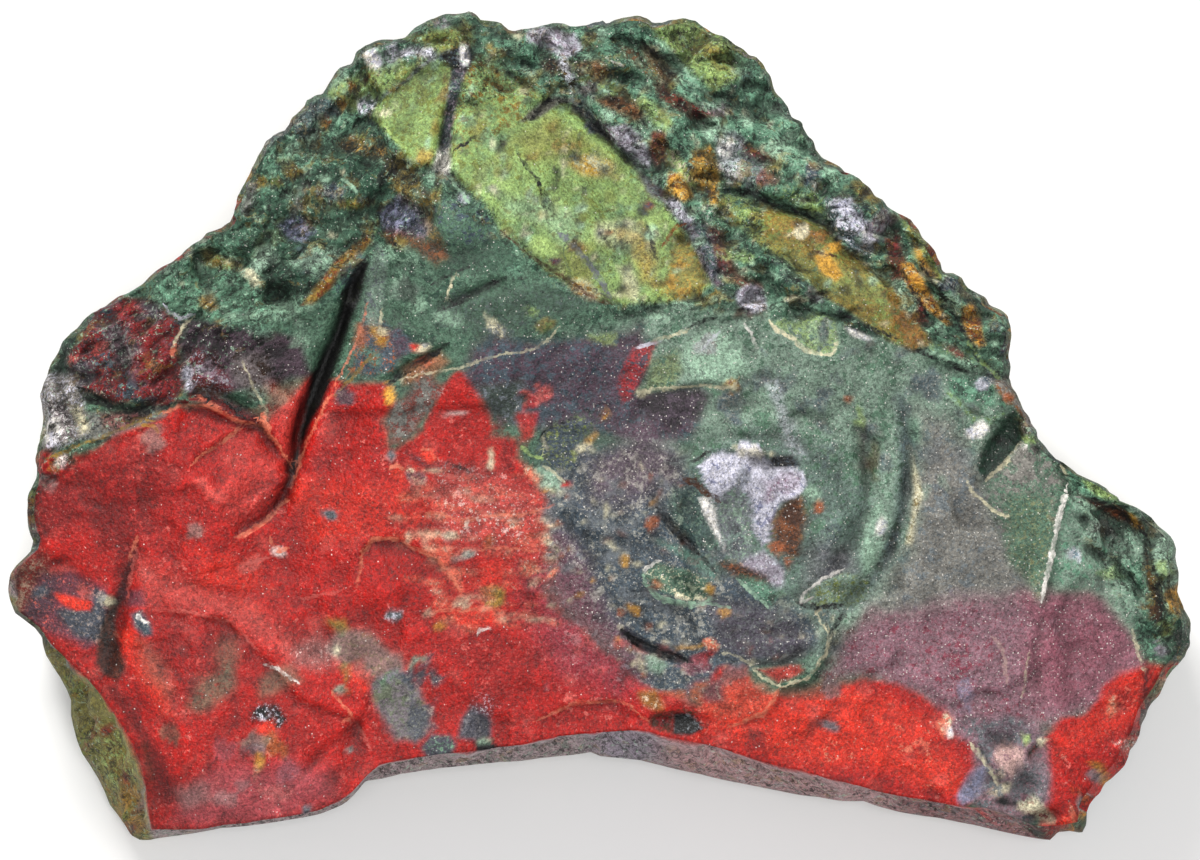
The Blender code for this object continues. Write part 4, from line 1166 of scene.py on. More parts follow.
RIND_TOP_MARKS = paint("""
    leaf 1 3 3 olive/.3 *.1: 450,110 70,-20 55,18 65,62 20,25 45,70 7,20 -22,13 -65,7 -25,-5 -55,-30 -25,-25
        -20,-15 -20,-30 -15,-10 -20,-25
    leaf 1 3 3 olive/.45 *.1: 365,115 30,-30 35,-25 25,10 -20,95 -20,0 -15,-20 -25,-25
    leaf .75 8 8 bronze/.4: 448,60 52,0 30,35 -10,25 -20,15 -40,15 -12,-40
    olive .8 5 6 leaf/.35: 330,92 42,-26 58,-8 10,8 -88,44
    olive .85 4 5 bronze/.3: 404,38 26,-8 40,-2 2,16 -32,8
    ochre 1: 343,104,6,5
    rust .8: 354,87,6,6
    umber 1: 366,78,8,4
    rust .6: 447,90,8,12
    bronze .6: 435,125,5,16
    ochre .6: 424,158,9,6
    cream 1: 385,113,6,3
    bronze .5: 478,128,10,12
    mint .4 9 7: 500,190 40,10 35,15 3,25 -18,6 -14,-21 -46,-10
    bronze .45 10 10: 510,140 35,-20 35,15 40,35 -20,5 -40,-15 -30,0
    rust .45: 566,145,12,8
    rust .4: 556,128,6,5
    amber .65 5 6 cream/.25: 568,162 22,-2 22,6 -6,7 -26,0
    lime .85 4 5: 518,240 27,-4 17,14 -6,14 -32,-14
    lime .45 7 6: 480,175 30,3 10,22 -20,5 -15,-9
    bronze .45 7 8: 562,250 28,-5 10,17 -12,23 -22,-13
    rust .6: 578,246,10,6
    cream .8 4 5 amber/.35: 572,278 18,4 14,14 -14,3 -14,-9
    cream .45 7 7: 600,226 40,-2 2,16 -28,4 -14,-4
    amber .5 6 8 rust/.25: 624,236 26,-4 14,30 -8,26 -16,-6
    bronze .65 5 6 ochre/.3: 670,230 16,-4 20,46 -6,22 -20,4 -16,-8
    cream .6 4 5: 618,268 14,-6 8,28 -4,13 -12,-7
    rust .5: 658,285,9,4
    lime .5 5 5: 640,218 16,-4 12,18 -8,18 -14,-10
    leaf .4: 620,195,22,12
    garnet 1: 650,204,5,6 555,261,5,4
    rust 1: 610,233,6,3
    storm 1: 598,231,3,6
    slate .7: 490,189,4,4
    garnet .6 3 3: 500,228 45,40 55,35 -4,-6 -56,-35
    plum .95 3 4 storm/.45: 570,100 42,26 36,52 42,36 14,26 4,22 18,22 -10,8 -44,-82 -22,-18 -32,-46 -22,-20
        -22,-14
    drab .9 2 3 pitch/.4: 520,122 10,-10 23,-14 22,2 -19,4 -20,16
    lilac 1 3 3 quartz/.5 *.9: 612,128 14,-4 16,12 10,24 -2,12 -40,-34
    mint .7: 604,118,7,6
    slate 1: 592,130,8,6 585,107,10,6,-40
    quartz 1 3 4 lilac/.4 *1: 528,32 17,-4 30,4 7,16 -16,12 -36,-20
    quartz .8 3 4 umber/.35: 556,58 10,0 14,34 -8,-2
    umber .9 3 4 ink/.5: 538,52 14,0 10,16 -10,8 -12,-10
    teal 1: 575,30,12,5
    rust .75 4 5 umber/.4: 576,62 24,-2 12,12 -12,8 -22,-4
    drab 1: 590,88,16,6,10
    mint .85 3 4 lime/.35: 596,84 18,-4 8,8 -12,10 -12,-1
    rust .85 4 5 umber/.45: 596,98 29,-3 25,15 -10,16
    umber .95 3 5 garnet/.35: 655,84 45,24 24,8 -24,2 -24,-8 -18,-10
    drab .8 3 4 lilac/.4: 700,104 24,-2 8,10 -16,3
    garnet .85 3 5 umber/.45: 652,132 12,0 4,18 -6,26 -10,-8 -4,-18
    lime .6 4 6: 640,92 20,12 12,18 -7,8 -17,-10 -12,-15
    mint .5: 645,128,8,10
    lime .85 3 3 cream/.4: 666,150 10,2 14,20 4,16 -22,-22
    amber .9 3 4 rust/.35: 668,172 12,2 12,22 -8,4 -14,-10
    bronze .9 4 5 ochre/.4: 690,150 20,-4 8,19 -2,35 -24,-24
    amber .9: 714,198,5,9
    pitch .8: 708,190,5,8
    mint .8 3 4: 700,124 16,-6 12,12 -6,12 -16,-2
    teal .9 2 3 milk/.3: 700,208 16,-2 4,10 -12,4
    quartz .6 4 7 moss/.45 *1: 716,138 20,-6 10,8 -8,20 6,20 -14,2 -10,-17
    milk .7 3 4: 716,146 14,-4 2,14 -10,2
    umber .85 3 4 garnet/.4: 742,142 14,4 20,14 -12,4 -18,-10
    storm .6 6 6 lilac/.35: 744,155 18,7 6,26 -24,2
    garnet .6: 768,178,12,9
    quartz .8 3 5 pitch/.4: 668,200 12,5 14,15 -8,6 -12,-10
    cream 1: 728,214,5,4
    slate .8 5 6 lilac/.25: 690,226 16,-4 16,28 4,26 -14,4 -14,-25
    garnet .7 4 6 umber/.5: 704,222 18,10 6,26 12,18 25,12 -15,2 -26,-10
    olive .8 5 6 moss/.35: 722,190 38,15 30,30 10,27 -30,-12 -50,-35
    lime .6: 744,214,8,4,-35
    teal .5: 736,238,10,8
    lime .5: 736,256,14,6,-10
    quartz .9 3 5 lilac/.45 *1: 736,292 14,-6 12,6 2,16 -16,4 -10,-8
    forest 1: 780,290,12,7
    pitch .7: 790,272,14,8,-20
    lilac .4: 815,292,12,6,-50
    cream 1: 792,299,10,3
    umber .8: 750,315,12,5
""")

RIND_RIGHT = paint("""
    olive .9 5 6 leaf/.45: 650,24 35,-6 35,18 25,24 -10,20 -20,10 -51,-44
    leaf .7: 684,36,9,7
    bronze .5: 706,52,14,10,-35
    lime .8: 716,72,8,8
    moss .85 6 6 teal/.4: 732,45 24,9 34,76 -30,-10 -20,-40
    teal .8 3 4 mint/.35: 655,38 10,4 25,36 30,27 -14,3 -24,-16 -18,-28
    teal .5 8 9 forest/.4: 600,25 40,-3 20,23 10,35 -30,-5 -30,-25
    umber .55 4 5 rust/.3: 618,44 22,8 32,32 -12,2 -26,-18
    rust .55 4 5: 640,45 10,-1 30,38 -16,-6
    teal .5: 520,60,26,16
    bronze .7: 492,50,10,7,-40
    moss .5: 550,85,24,8
    bronze .5: 530,82,10,6,40
    teal .85 8 8 mint/.3: 765,105 35,20 25,35 25,20 -20,10 -55,-40
    mint .55: 782,146,14,8
    slate 1: 812,176,9,12
    mint .6: 830,172,5,14,30
    olive .8: 804,128,4,9
    moss .7 6 7 lime/.3: 780,180 40,15 10,30 -54,-25
    umber .8 3 3: 790,196 28,2 -2,6 -22,0
    lime .6: 812,206,10,4
    bronze .95 3 3 olive/.45 *.2: 760,203 40,12 28,13 17,22 35,25 55,70 -20,5 -25,-10 -55,-35 -45,-43 -30,-22
    olive .6 8 7: 760,240 40,10 50,40 40,45 -90,-60
    leaf .35 8 8: 830,265 50,15 15,30 -35,-10 -25,-15
    amber .9 3 4: 816,256 10,-4 16,23 -6,5 -14,-12
    amber .8: 835,247,7,5
    rust .6 6 5: 790,222 30,4 16,14 -10,4 -26,-8
    cream .8: 801,233,6,5,30
    rust .55 6 6: 885,290 15,10 34,45 -22,3 -18,-23
    cream 1: 866,264,6,3
    umber .9 4 6 garnet/.4: 882,228 20,4 14,60 16,34 -12,0 -20,-34 -12,-30
    moss .8 3 4 mint/.3: 896,282 10,2 10,24 -8,4
    slate .85 4 5 quartz/.3 *1: 826,200 24,2 30,38 -10,14 -20,-8 -18,-21
    quartz .9 3 4 *1: 834,201 12,2 30,37 -10,3
    milk 1: 868,235,5,6
    lilac .7 4 5 *1: 878,216 8,-8 12,10 -20,22 -10,-12
    bronze .8 3 4: 853,182 13,0 18,18 -10,2 -16,-10
    pitch .7: 870,208,10,6,-40
    olive .95 4 4 moss/.3: 900,214 16,2 28,46 4,18 -12,6 -18,-24 -14,-26
    ochre .85 3 3: 908,226 26,50 -6,4 -12,-24
    forest .85 3 3 teal/.3: 900,245 10,1 8,20 -10,0
    ochre 1 2 4 rust/.35: 902,264 10,0 10,20 34,40 -8,2 -22,-18 -14,-20
    forest .8 3 4 teal/.35: 926,276 18,12 22,52 -8,-4 -20,-30
    mint .95 2 3: 944,294 12,-2 6,10 -4,16 -8,-8
    slate 1: 950,284,12,9
    ochre 1 3 4 rust/.4: 962,308 12,-8 14,46 -10,4 -12,-14 -6,-14
    moss .85 4 5 teal/.35: 980,298 30,14 4,22 -2,44 -22,-12
    plum 1: 1006,344,6,10,10
    mint .7: 997,342,6,5
    slate .7: 995,326,7,9
    moss .7 5 6 lime/.25: 925,340 35,5 40,27 -70,-20
    garnet .7: 955,352,10,4,-20
    drab .9 3 4 rust/.3: 990,378 20,2 20,40 -34,-28
    sienna 1: 1007,396,7,4,-40
    milk .8 2 3: 843,325 31,13 -6,4 -16,-6
    mint .7: 966,368,7,6,-30
""")

# The left shoulder's white and lilac blots come last, over the rest of the rind
SHOULDER = paint("""
    milk .95 2 3 *.6: 364,62 -2,-12 12,-6 10,18 -4,8 -10,-2
    moss .8 3 4 quartz/.35 *1: 382,44 14,-2 4,16 -12,8
    quartz .9 3 4 slate/.3 *1: 396,52 14,-6 22,2 2,10 -18,-2 -14,4
    slate 1 3 4 ink/.45: 436,56 30,-12 8,12 -6,16 -12,-2
    milk 1: 464,57,4,7
    teal 1: 420,29,11,3,15
    lilac 1: 441,25,7,3
    drab .6: 356,56,6,5
    slate .95 2 3 lilac/.35: 452,70 12,2 -12,44 -4,34 -8,0
    milk .9 3 4 slate/.3: 438,152 8,0 4,14 -2,12 -10,-4 -4,-8
    storm .9 2 3 pitch/.35: 376,100 28,-22 16,-16 14,-4 -8,10 -32,26
    quartz .9 2 3 slate/.35 *1: 358,102 12,-4 6,6 -6,10 -10,-2
    slate .7 3 4: 430,172 20,4 6,14 -12,-4
    quartz .7: 464,198,7,5,-30
""")

# Cracks, veins and the lit edges of flakes, which are partly the stone's pale translucent edges and partly
# painted highlight
# Painted highlight: the coral strokes on the bulb's rims (from 160,415, 189,467 and 290,498) and on the
# fissure's right lip (from 368,300),
# Painted shadow: the ink and maroon strokes under the left lobe's step (from 76,386 and 150,402), at the
# fissure's top (from 368,256) and under the sage flake (from 794,601).
# the coral and rose strokes on the left scar's lit edge (from 138,534 and 139,548) and the cream stroke on
# the right scar's rim (from 1022,441).
STROKES = ink("""
    ink 5 1: 76,386 20,14 22,8 22,4 40,-10
    maroon 2 1: 150,402 55,2
    bronze 1.6 .9: 42,459 18,-4 20,-11 20,-6 65,-28
    coral 1.7 1: 160,415 25,-11 20,1 35,17 22,4 13,14 18,28
    coral 1.8 1: 189,467 16,-15 20,-11 17,-14
    coral 2.2 1: 290,498 -30,27 -15,10 -12,2
    coral 1.2 .7: 193,393 22,12 17,13
    cream 1 .5: 242,358 15,37 11,17
    coral 2.5 1: 262,410 4,14 6,6
    quartz 1.5 .8: 162,303 8,9 10,6 17,-4
    cream 1.4 .7: 195,315 -12,11 -8,16 -4,16
    coral 2.2 1: 176,342 -4,16
    ochre 1.8 .8: 140,424 12,2 8,8
    coral 1.6 .8: 138,534 -10,28
    rose 1.4 1: 139,548 -7,18 -6,38
    milk 1.8 1: 136,614 7,7 8,3
    rose 1.4 .8: 150,610 40,2 42,10 30,33
    coral 1.6 1: 330,690 22,26 -12,8
    rose 1.5 .8: 352,718 12,17 8,17
    milk 1.3 .7: 262,664 13,4 25,16
    coral 1.8 1: 270,535 2,10 6,7 12,-4
    rose 1.5 1: 240,566 32,-10
    coral 1.2 .8: 368,300 -11,40 -52,106 -15,44
    bronze 1.5 .8: 386,345 -18,15 -34,38
    cream 1.3 .8: 383,308 -5,26
    ink 2.6 1: 450,343 -64,43
    ink 2 1: 380,235 22,13
    cream 1.1 .6: 390,381 65,-13 45,-13 33,-5 12,-7 15,-18
    ink 2 1: 600,411 -15,1 -15,8 -14,4 -14,8 -4,12
    cream 2 .7: 542,436 6,16
    lime 1.8 1: 520,446 10,8 15,6
    cream 1.6 .8: 542,465 14,9 10,10
    ink 1.4 1: 448,464 18,6 14,10
    coral 1.8 1: 388,470 8,-5 9,5
    coral 1.8 1: 421,449 9,1 7,10
    coral 1.6 .7: 424,520 4,-7 12,0 15,7 13,0 32,-6 22,2 34,-12
    rose 1.8 1: 440,474 16,3 14,-3 10,3
    coral 1.4 .6: 478,551 12,-4 62,5
    coral 2.2 1: 356,590 6,-38 11,-12 15,-2 12,2
    garnet 1.5 1: 355,588 5,-32
    coral 1.6 .8: 400,540 38,20 24,32
    rose 1.6 .6: 300,600 45,-10
    coral 1.5 .7: 430,614 15,-5 17,3 18,-4 22,2
    milk 1.4 .7: 476,636 4,-8 12,1
    coral 1.8 .8: 533,722 39,-18 28,-3 22,0 28,21
    ink 3.2 1: 655,506 21,26 25,24
    ink 1.5 .8: 690,545 26,27
    ink 3.6 1: 620,629 14,11 30,16 30,7
    ink 2.5 1: 640,648 20,6 14,8
    umber 3 1: 680,476 14,6 14,12 14,8
    ink 1.6 1: 688,464 24,-14
    cream 1.5 .7: 650,342 40,-12
    quartz 1.4 1: 634,348 28,-8
    ink 1.5 1: 688,328 17,-8 13,-2
    cream 1.8 .9: 637,394 15,-4 57,-5 25,4 6,-13
    milk 1.3 .7: 744,322 8,13 5,15
    quartz 1.3 .6: 700,350 22,-20
    cream 2.3 1: 768,320 9,10 13,7 18,15 25,3 4,-15
    ink 2.2 1: 832,306 18,12 50,22
    mint 2.6 1: 642,572 4,13 12,11 14,6 18,3 16,-2 6,-7
    mint 1.6 .7: 700,602 32,6
    mint 1.6 1: 735,578 36,31
    milk 1.6 .7: 642,574 8,-8 12,-6
    milk 1.4 .8: 800,602 8,-12 14,-10 24,-12
    ink 2.4 1: 794,601 18,6 38,-2
    ink 2 1: 848,606 -14,24 -8,8
    cream 1.5 .85: 816,612 14,26 -3,14 -19,26 -28,9
    cream 1.4 .8: 720,652 16,4 12,6 12,14 18,11
    coral 2 1: 779,687 -5,13 -10,14 -39,14
    ink 1.4 .7: 752,665 28,-1 16,-8
    umber 1.3 1: 660,713 20,-3 20,4
    cream 1.5 1: 966,480 6,12 26,21 12,5
    milk 2.2 1: 1068,484 -11,44 -16,78
    cream 1 .4: 1030,650 -8,50
    ashrose 2 .8: 990,636 8,6 6,14 3,30
    cream 1.6 .8: 1132,628 8,32 6,14
    cream 1.8 1: 1022,441 -18,23 -20,18
    milk 1.4 .7: 1028,446 -10,2 -8,10
    cream 1.7 1: 1060,462 10,18
    ink 1.6 .8: 1020,404 12,18 8,18 10,12 14,10
    ink 2.2 1: 1078,496 22,6 20,10 20,16 10,17
    ink 2.5 1: 1150,552 6,28 10,26
    cream 1.8 .85: 968,742 20,24 10,20
    ink 1.6 .8: 978,742 7,16 12,14 3,14
    maroon 2 1: 1148,664 -4,38
    maroon 1.4 .7: 1164,668 -12,32
    ink 5 1: 368,256 -26,44
    milk 1.2 .7: 360,264 -14,24
    ink 1.6 1: 430,286 25,-15 17,-3
    ink 2.6 1: 436,313 39,-19 15,-10 18,-7 22,2
    cream 1.2 1: 455,273 -9,29
    lime 1.5 1: 372,118 13,9 20,23
    mint 1.7 1: 447,174 23,30
    mint 1.8 .8: 340,178 10,6 7,11
    sage 1.8 .7: 306,172 -10,28
    ink 1.7 1: 452,152 26,-17
    ink 1.6 .7: 480,68 -10,-6 -8,10
    ink 1.9 1: 515,143 7,17 18,24 9,41
    ink 1.6 .9: 542,186 10,22
    storm 2.8 1: 558,232 12,10 24,28 18,30
    ink 1.8 1: 562,236 30,32 12,20
    ink 1.6 .8: 595,216 5,16 10,16
    ink 1.5 .9: 645,218 12,44
    forest 1 .7: 562,246 10,34
    umber 1.7 .9: 500,229 30,27 36,22 18,14 16,9 20,4
    ink 2.4 1: 528,122 18,-20 8,-3
    pitch 2.5 .8: 570,104 40,36 20,26
    rust 1.7 1: 688,224 -12,2 -14,22
    ink 1.9 1: 726,192 8,-8 8,10 6,-2 24,13 18,2
    ink 2.2 1: 788,207 26,13 12,3 16,23 10,8 12,6 16,2
    ink 1.6 .7: 740,150 12,0 18,10
    ink 1.7 .8: 766,250 18,12 16,16
    umber 1.2 1: 812,250 14,5 12,1
    ink 1.8 1: 900,262 6,18 34,56
    ink 2 1: 918,262 34,46 14,28 14,20
    ink 1.6 .7: 868,182 -18,8 22,24
    ink 2 1: 900,345 50,17 25,16
    ink 1.6 1: 970,352 40,30
    lime 1.4 .7: 966,340 18,24 16,16
    mint 1.4 .7: 926,350 26,10
    mint 1.5 .7: 664,42 28,38 20,18
    ink 1.7 .8: 640,40 60,64 24,10
    ink 2 .7: 655,88 49,28
    milk 1.4 .8: 606,57 18,11
""")

# The visible flanks: the arched front wall and the rough side at the lower left
WALL = paint("""
    wall 1 5 0 *.1: -60,-60 1320,0 0,980 -1320,0
    steel .45 22 8: 590,725 70,0 10,40 -70,10
    wallrose .8 22 8: 660,720 300,70 140,40 -40,30 -400,-60
    garnet .45 16 6: 900,780 200,40 -20,40 -180,-30
    brick .9 2 2: 962,806 18,2 12,12 -16,-4
    bog 1 2 2: 1002,806 28,8 16,12 -16,-2
    bog 1 2 2: 1022,826 38,8 -2,8 -18,-4
    crimson .9 4 4: 1044,812 66,-42 0,90 -60,-10
    olive 1 3 2 bronze/.45: -60,560 80,40 40,40 50,60 30,50 20,150 -220,0
    pitch .9 4 3: 0,600 20,12 22,20 38,42 -10,-2 -24,-22 -26,-16
    bronze .6 5 5: 40,645 20,10 12,25 -16,-4
    bronze .5 6 6: 72,700 24,-10 16,24 -16,16 -22,10
    bronze .85 5 5 lime/.35: 96,722 16,0 16,23 8,25 -18,20 -16,-20
    olive .5 5 5 storm/.4: 70,730 20,5 10,45 -16,-20
    crimson 1: 104,729,4,10,35
    crimson .9: 87,746,4,6 125,780,4,7,20
    rust 1: 130,790,5,4
    ochre .9 4 4 bronze/.35: 118,792 18,-7 10,45 -16,2 -8,-17
    garnet .8: 136,828,12,5
    mauve .7: 141,800,3,14
""")

# The finest crumbs of the rind and streaks of the break, over everything else there
STREAKED = path("395,470 150,0 15,160 -130,0 -30,-70")
CRUMBS = [
    Sprinkle(Tone.TEAL, FLATS[0], 60, 9, 39, 0.3),
    Sprinkle(Tone.BRONZE, FLATS[0], 30, 6, 40, 0.25),
    Sprinkle(Tone.UMBER, FLATS[0], 100, 1.8, 41, 0.6),
    Sprinkle(Tone.CREAM, FLATS[0], 60, 2, 42, 0.5),
    Sprinkle(Tone.CORAL, STREAKED, 90, 2.2, 35, 0.45, 4.0, -4),
    Sprinkle(Tone.CREAM, STREAKED, 40, 1.8, 36, 0.45, 3.5, -4),
    Sprinkle(Tone.CRIMSON, STREAKED, 90, 2.8, 37, 0.5, 4.0, -4),
    Sprinkle(Tone.MAROON, path("150,610 110,30 90,120 -10,50 -180,10"), 60, 7, 38, 0.35),
    Sprinkle(Tone.CREAM, RIND_TOP, 150, 2.6, 31, 0.6),
    Sprinkle(Tone.PITCH, RIND_TOP, 260, 4, 32, 0.65),
    Sprinkle(Tone.MINT, RIND_TOP, 220, 3.4, 33, 0.6),
    Sprinkle(Tone.BRONZE, RIND_TOP, 120, 4, 34, 0.5),
]

# The underside's patches: tone, size, the height that noise has to pass, and seed
HIDDEN_PATCHES = (
    (Tone.MOSS, 18 * MM, 0.0, 61),
    (Tone.FOREST, 11 * MM, 0.25, 62),
    (Tone.CRIMSON, 24 * MM, 0.5, 63),
    (Tone.OCHRE, 8 * MM, 0.45, 64),
    (Tone.RUST, 9 * MM, 0.42, 65),
    (Tone.SLATE, 10 * MM, 0.35, 66),
    (Tone.SAGE, 6 * MM, 0.5, 67),
)


@dataclass
class Coat:
    """What the brushes leave at each point of the mesh."""

    ground: Array
    fleck: Array
    share: Array
    glint: Array

    @classmethod
    def bare(cls, count: int) -> Coat:
        """A coat with nothing on it."""
        return cls(np.zeros((count, 3)), np.zeros((count, 3)), np.full(count, 0.3), np.full(count, 0.15))

    def over(self, other: Coat, weight: Array) -> Coat:
        """This coat where the weight is 0 and the other one where it is 1."""
        broad = weight[:, None]
        return Coat(
            self.ground + (other.ground - self.ground) * broad,
            self.fleck + (other.fleck - self.fleck) * broad,
            self.share + (other.share - self.share) * weight,
            self.glint + (other.glint - self.glint) * weight,
        )


@dataclass(frozen=True)
class Paintwork:
    """The colours of the stone at its mesh points, brushed mark over mark.

    Attributes:
        wander_size: the size of the bends in a loop's border.
        quiver_size: the size of the bends in an oval's border.
        quiver: how much farther an oval's border bends.
        spare: marks beyond a border that are still worked out.
        stroke_reach: marks beside a stroke that still know of it.
        uneven: how much a stroke's width varies.
        taper: how soon a stroke has its full width.
        olive: how bright the underside's ground is.
        patch_border: half the noise step of the underside's patches.
        patch_cover: how much those patches hide.
    """

    wander_size: float = 7 * MM
    quiver_size: float = 2 * MM
    quiver: float = 1.6
    spare: float = 4
    stroke_reach: float = 5.5
    uneven: float = 0.45
    taper: float = 1.6
    olive: float = 0.7
    patch_border: float = 0.08
    patch_cover: float = 0.85

    def brush(self, marks: list[Mark | Sprinkle], x: Array, y: Array, points: Array) -> Coat:
        """Lays the marks over each other: colour = colour (1 - m) + tone m, for each mark's cover m.

        Args:
            marks: the marks, lowest first.
            x: places across the drawing, in marks.
            y: places down the drawing, in marks.
            points: the same places in space, for the borders' wandering.

        Returns:
            The coat that the marks leave.
        """
        wander = Chance.layered(points, self.wander_size, 5, 51)
        quiver = Chance.layered(points, self.quiver_size, 3, 54) * self.quiver
        coat = Coat.bare(len(x))
        single = itertools.chain.from_iterable(
            mark.marks() if isinstance(mark, Sprinkle) else [mark] for mark in marks
        )
        for mark in single:
            room = mark.soft + 2 * mark.rag + self.spare + (max(mark.size) if mark.size else 0)
            near = close_to(x, y, mark.line, room)
            depth = mark.depth(x[near], y[near]) + mark.rag * (quiver if mark.size else wander)[near]
            cover = mark.cover * ramp(depth, -mark.soft, mark.soft)
            fleck = (mark.fleck or mark.tone.companion).linear
            share = mark.tone.share if mark.share is None else mark.share
            coat.ground[near] += (mark.tone.linear - coat.ground[near]) * cover[:, None]
            coat.fleck[near] += (fleck - coat.fleck[near]) * cover[:, None]
            coat.share[near] += (share - coat.share[near]) * cover
            if mark.glint is not None:
                coat.glint[near] += (mark.glint - coat.glint[near]) * cover
        return coat

    def ink(self, x: Array, y: Array, points: Array) -> tuple[Array, Array, Array]:
        """Draws the strokes: each point near one keeps its side and gap, and the tapering half width.

        Args:
            x: places across the drawing, in marks.
            y: places down the drawing, in marks.
            points: the same places in space.

        Returns:
            The signed gap and the half width, in marks, and the tone with its strength in the fourth place.
        """
        uneven = 1 + self.uneven * Chance.layered(points, 2.5 * MM, 2, 57)
        best = np.full(len(x), -np.inf)
        aside, width = np.full(len(x), self.stroke_reach), np.full(len(x), -self.stroke_reach)
        ink = np.zeros((len(x), 4))
        for stroke in STROKES:
            room = stroke.half_width + self.stroke_reach
            near = close_to(x, y, stroke.line, room)
            gap, side, walked = near_line(x[near], y[near], stroke.line)
            taper = np.sqrt(np.clip(np.sin(math.pi * walked) * self.taper, 0, 1))
            half = stroke.half_width * taper * uneven[near]
            wins = (half - gap > best[near]) & (gap < room)
            chosen = near[wins]
            best[chosen] = (half - gap)[wins]
            aside[chosen] = (gap * np.where(side, side, 1))[wins]
            ended = (walked <= 0) | (walked >= 1)
            width[chosen] = np.where(ended, -gap, half)[wins]
            ink[chosen, :3] = stroke.tone.linear
            ink[chosen, 3] = stroke.strength
        return aside, width, ink

    def underside(self, points: Array) -> Coat:
        """The hidden rind: olive green with moss, ochre, rust and red where noise passes a height."""
        coat = Coat.bare(len(points))
        coat.ground[:] = Tone.OLIVE.linear * self.olive
        coat.fleck[:] = Tone.DRAB.linear
        for tone, size, level, seed in HIDDEN_PATCHES:
            noise = Chance.layered(points, size, 4, seed)
            cover = ramp(noise, level - self.patch_border, level + self.patch_border) * self.patch_cover
            coat.ground += (tone.linear - coat.ground) * cover[:, None]
            coat.fleck += (tone.companion.linear - coat.fleck) * cover[:, None]
        return coat


def linked(name: str, data: bpy.types.ID) -> bpy.types.Object:
    """A new object in the scene."""
    made = bpy.data.objects.new(name, data)
    bpy.context.scene.collection.objects.link(made)
    return made


@dataclass(frozen=True)
class Fineness:
    """How many cells the stone's surface has."""

    columns: int = 322
    rows: int = 230
    flank_rings: int = 11
    belly_rings: int = 22


@dataclass
class StoneMesh:
    """Points and faces of the stone, with what its finish needs to know of each point."""

    points: Array
    x: Array
    y: Array
    zone: Array
    hollow: Array
    faces: list[list[int]]


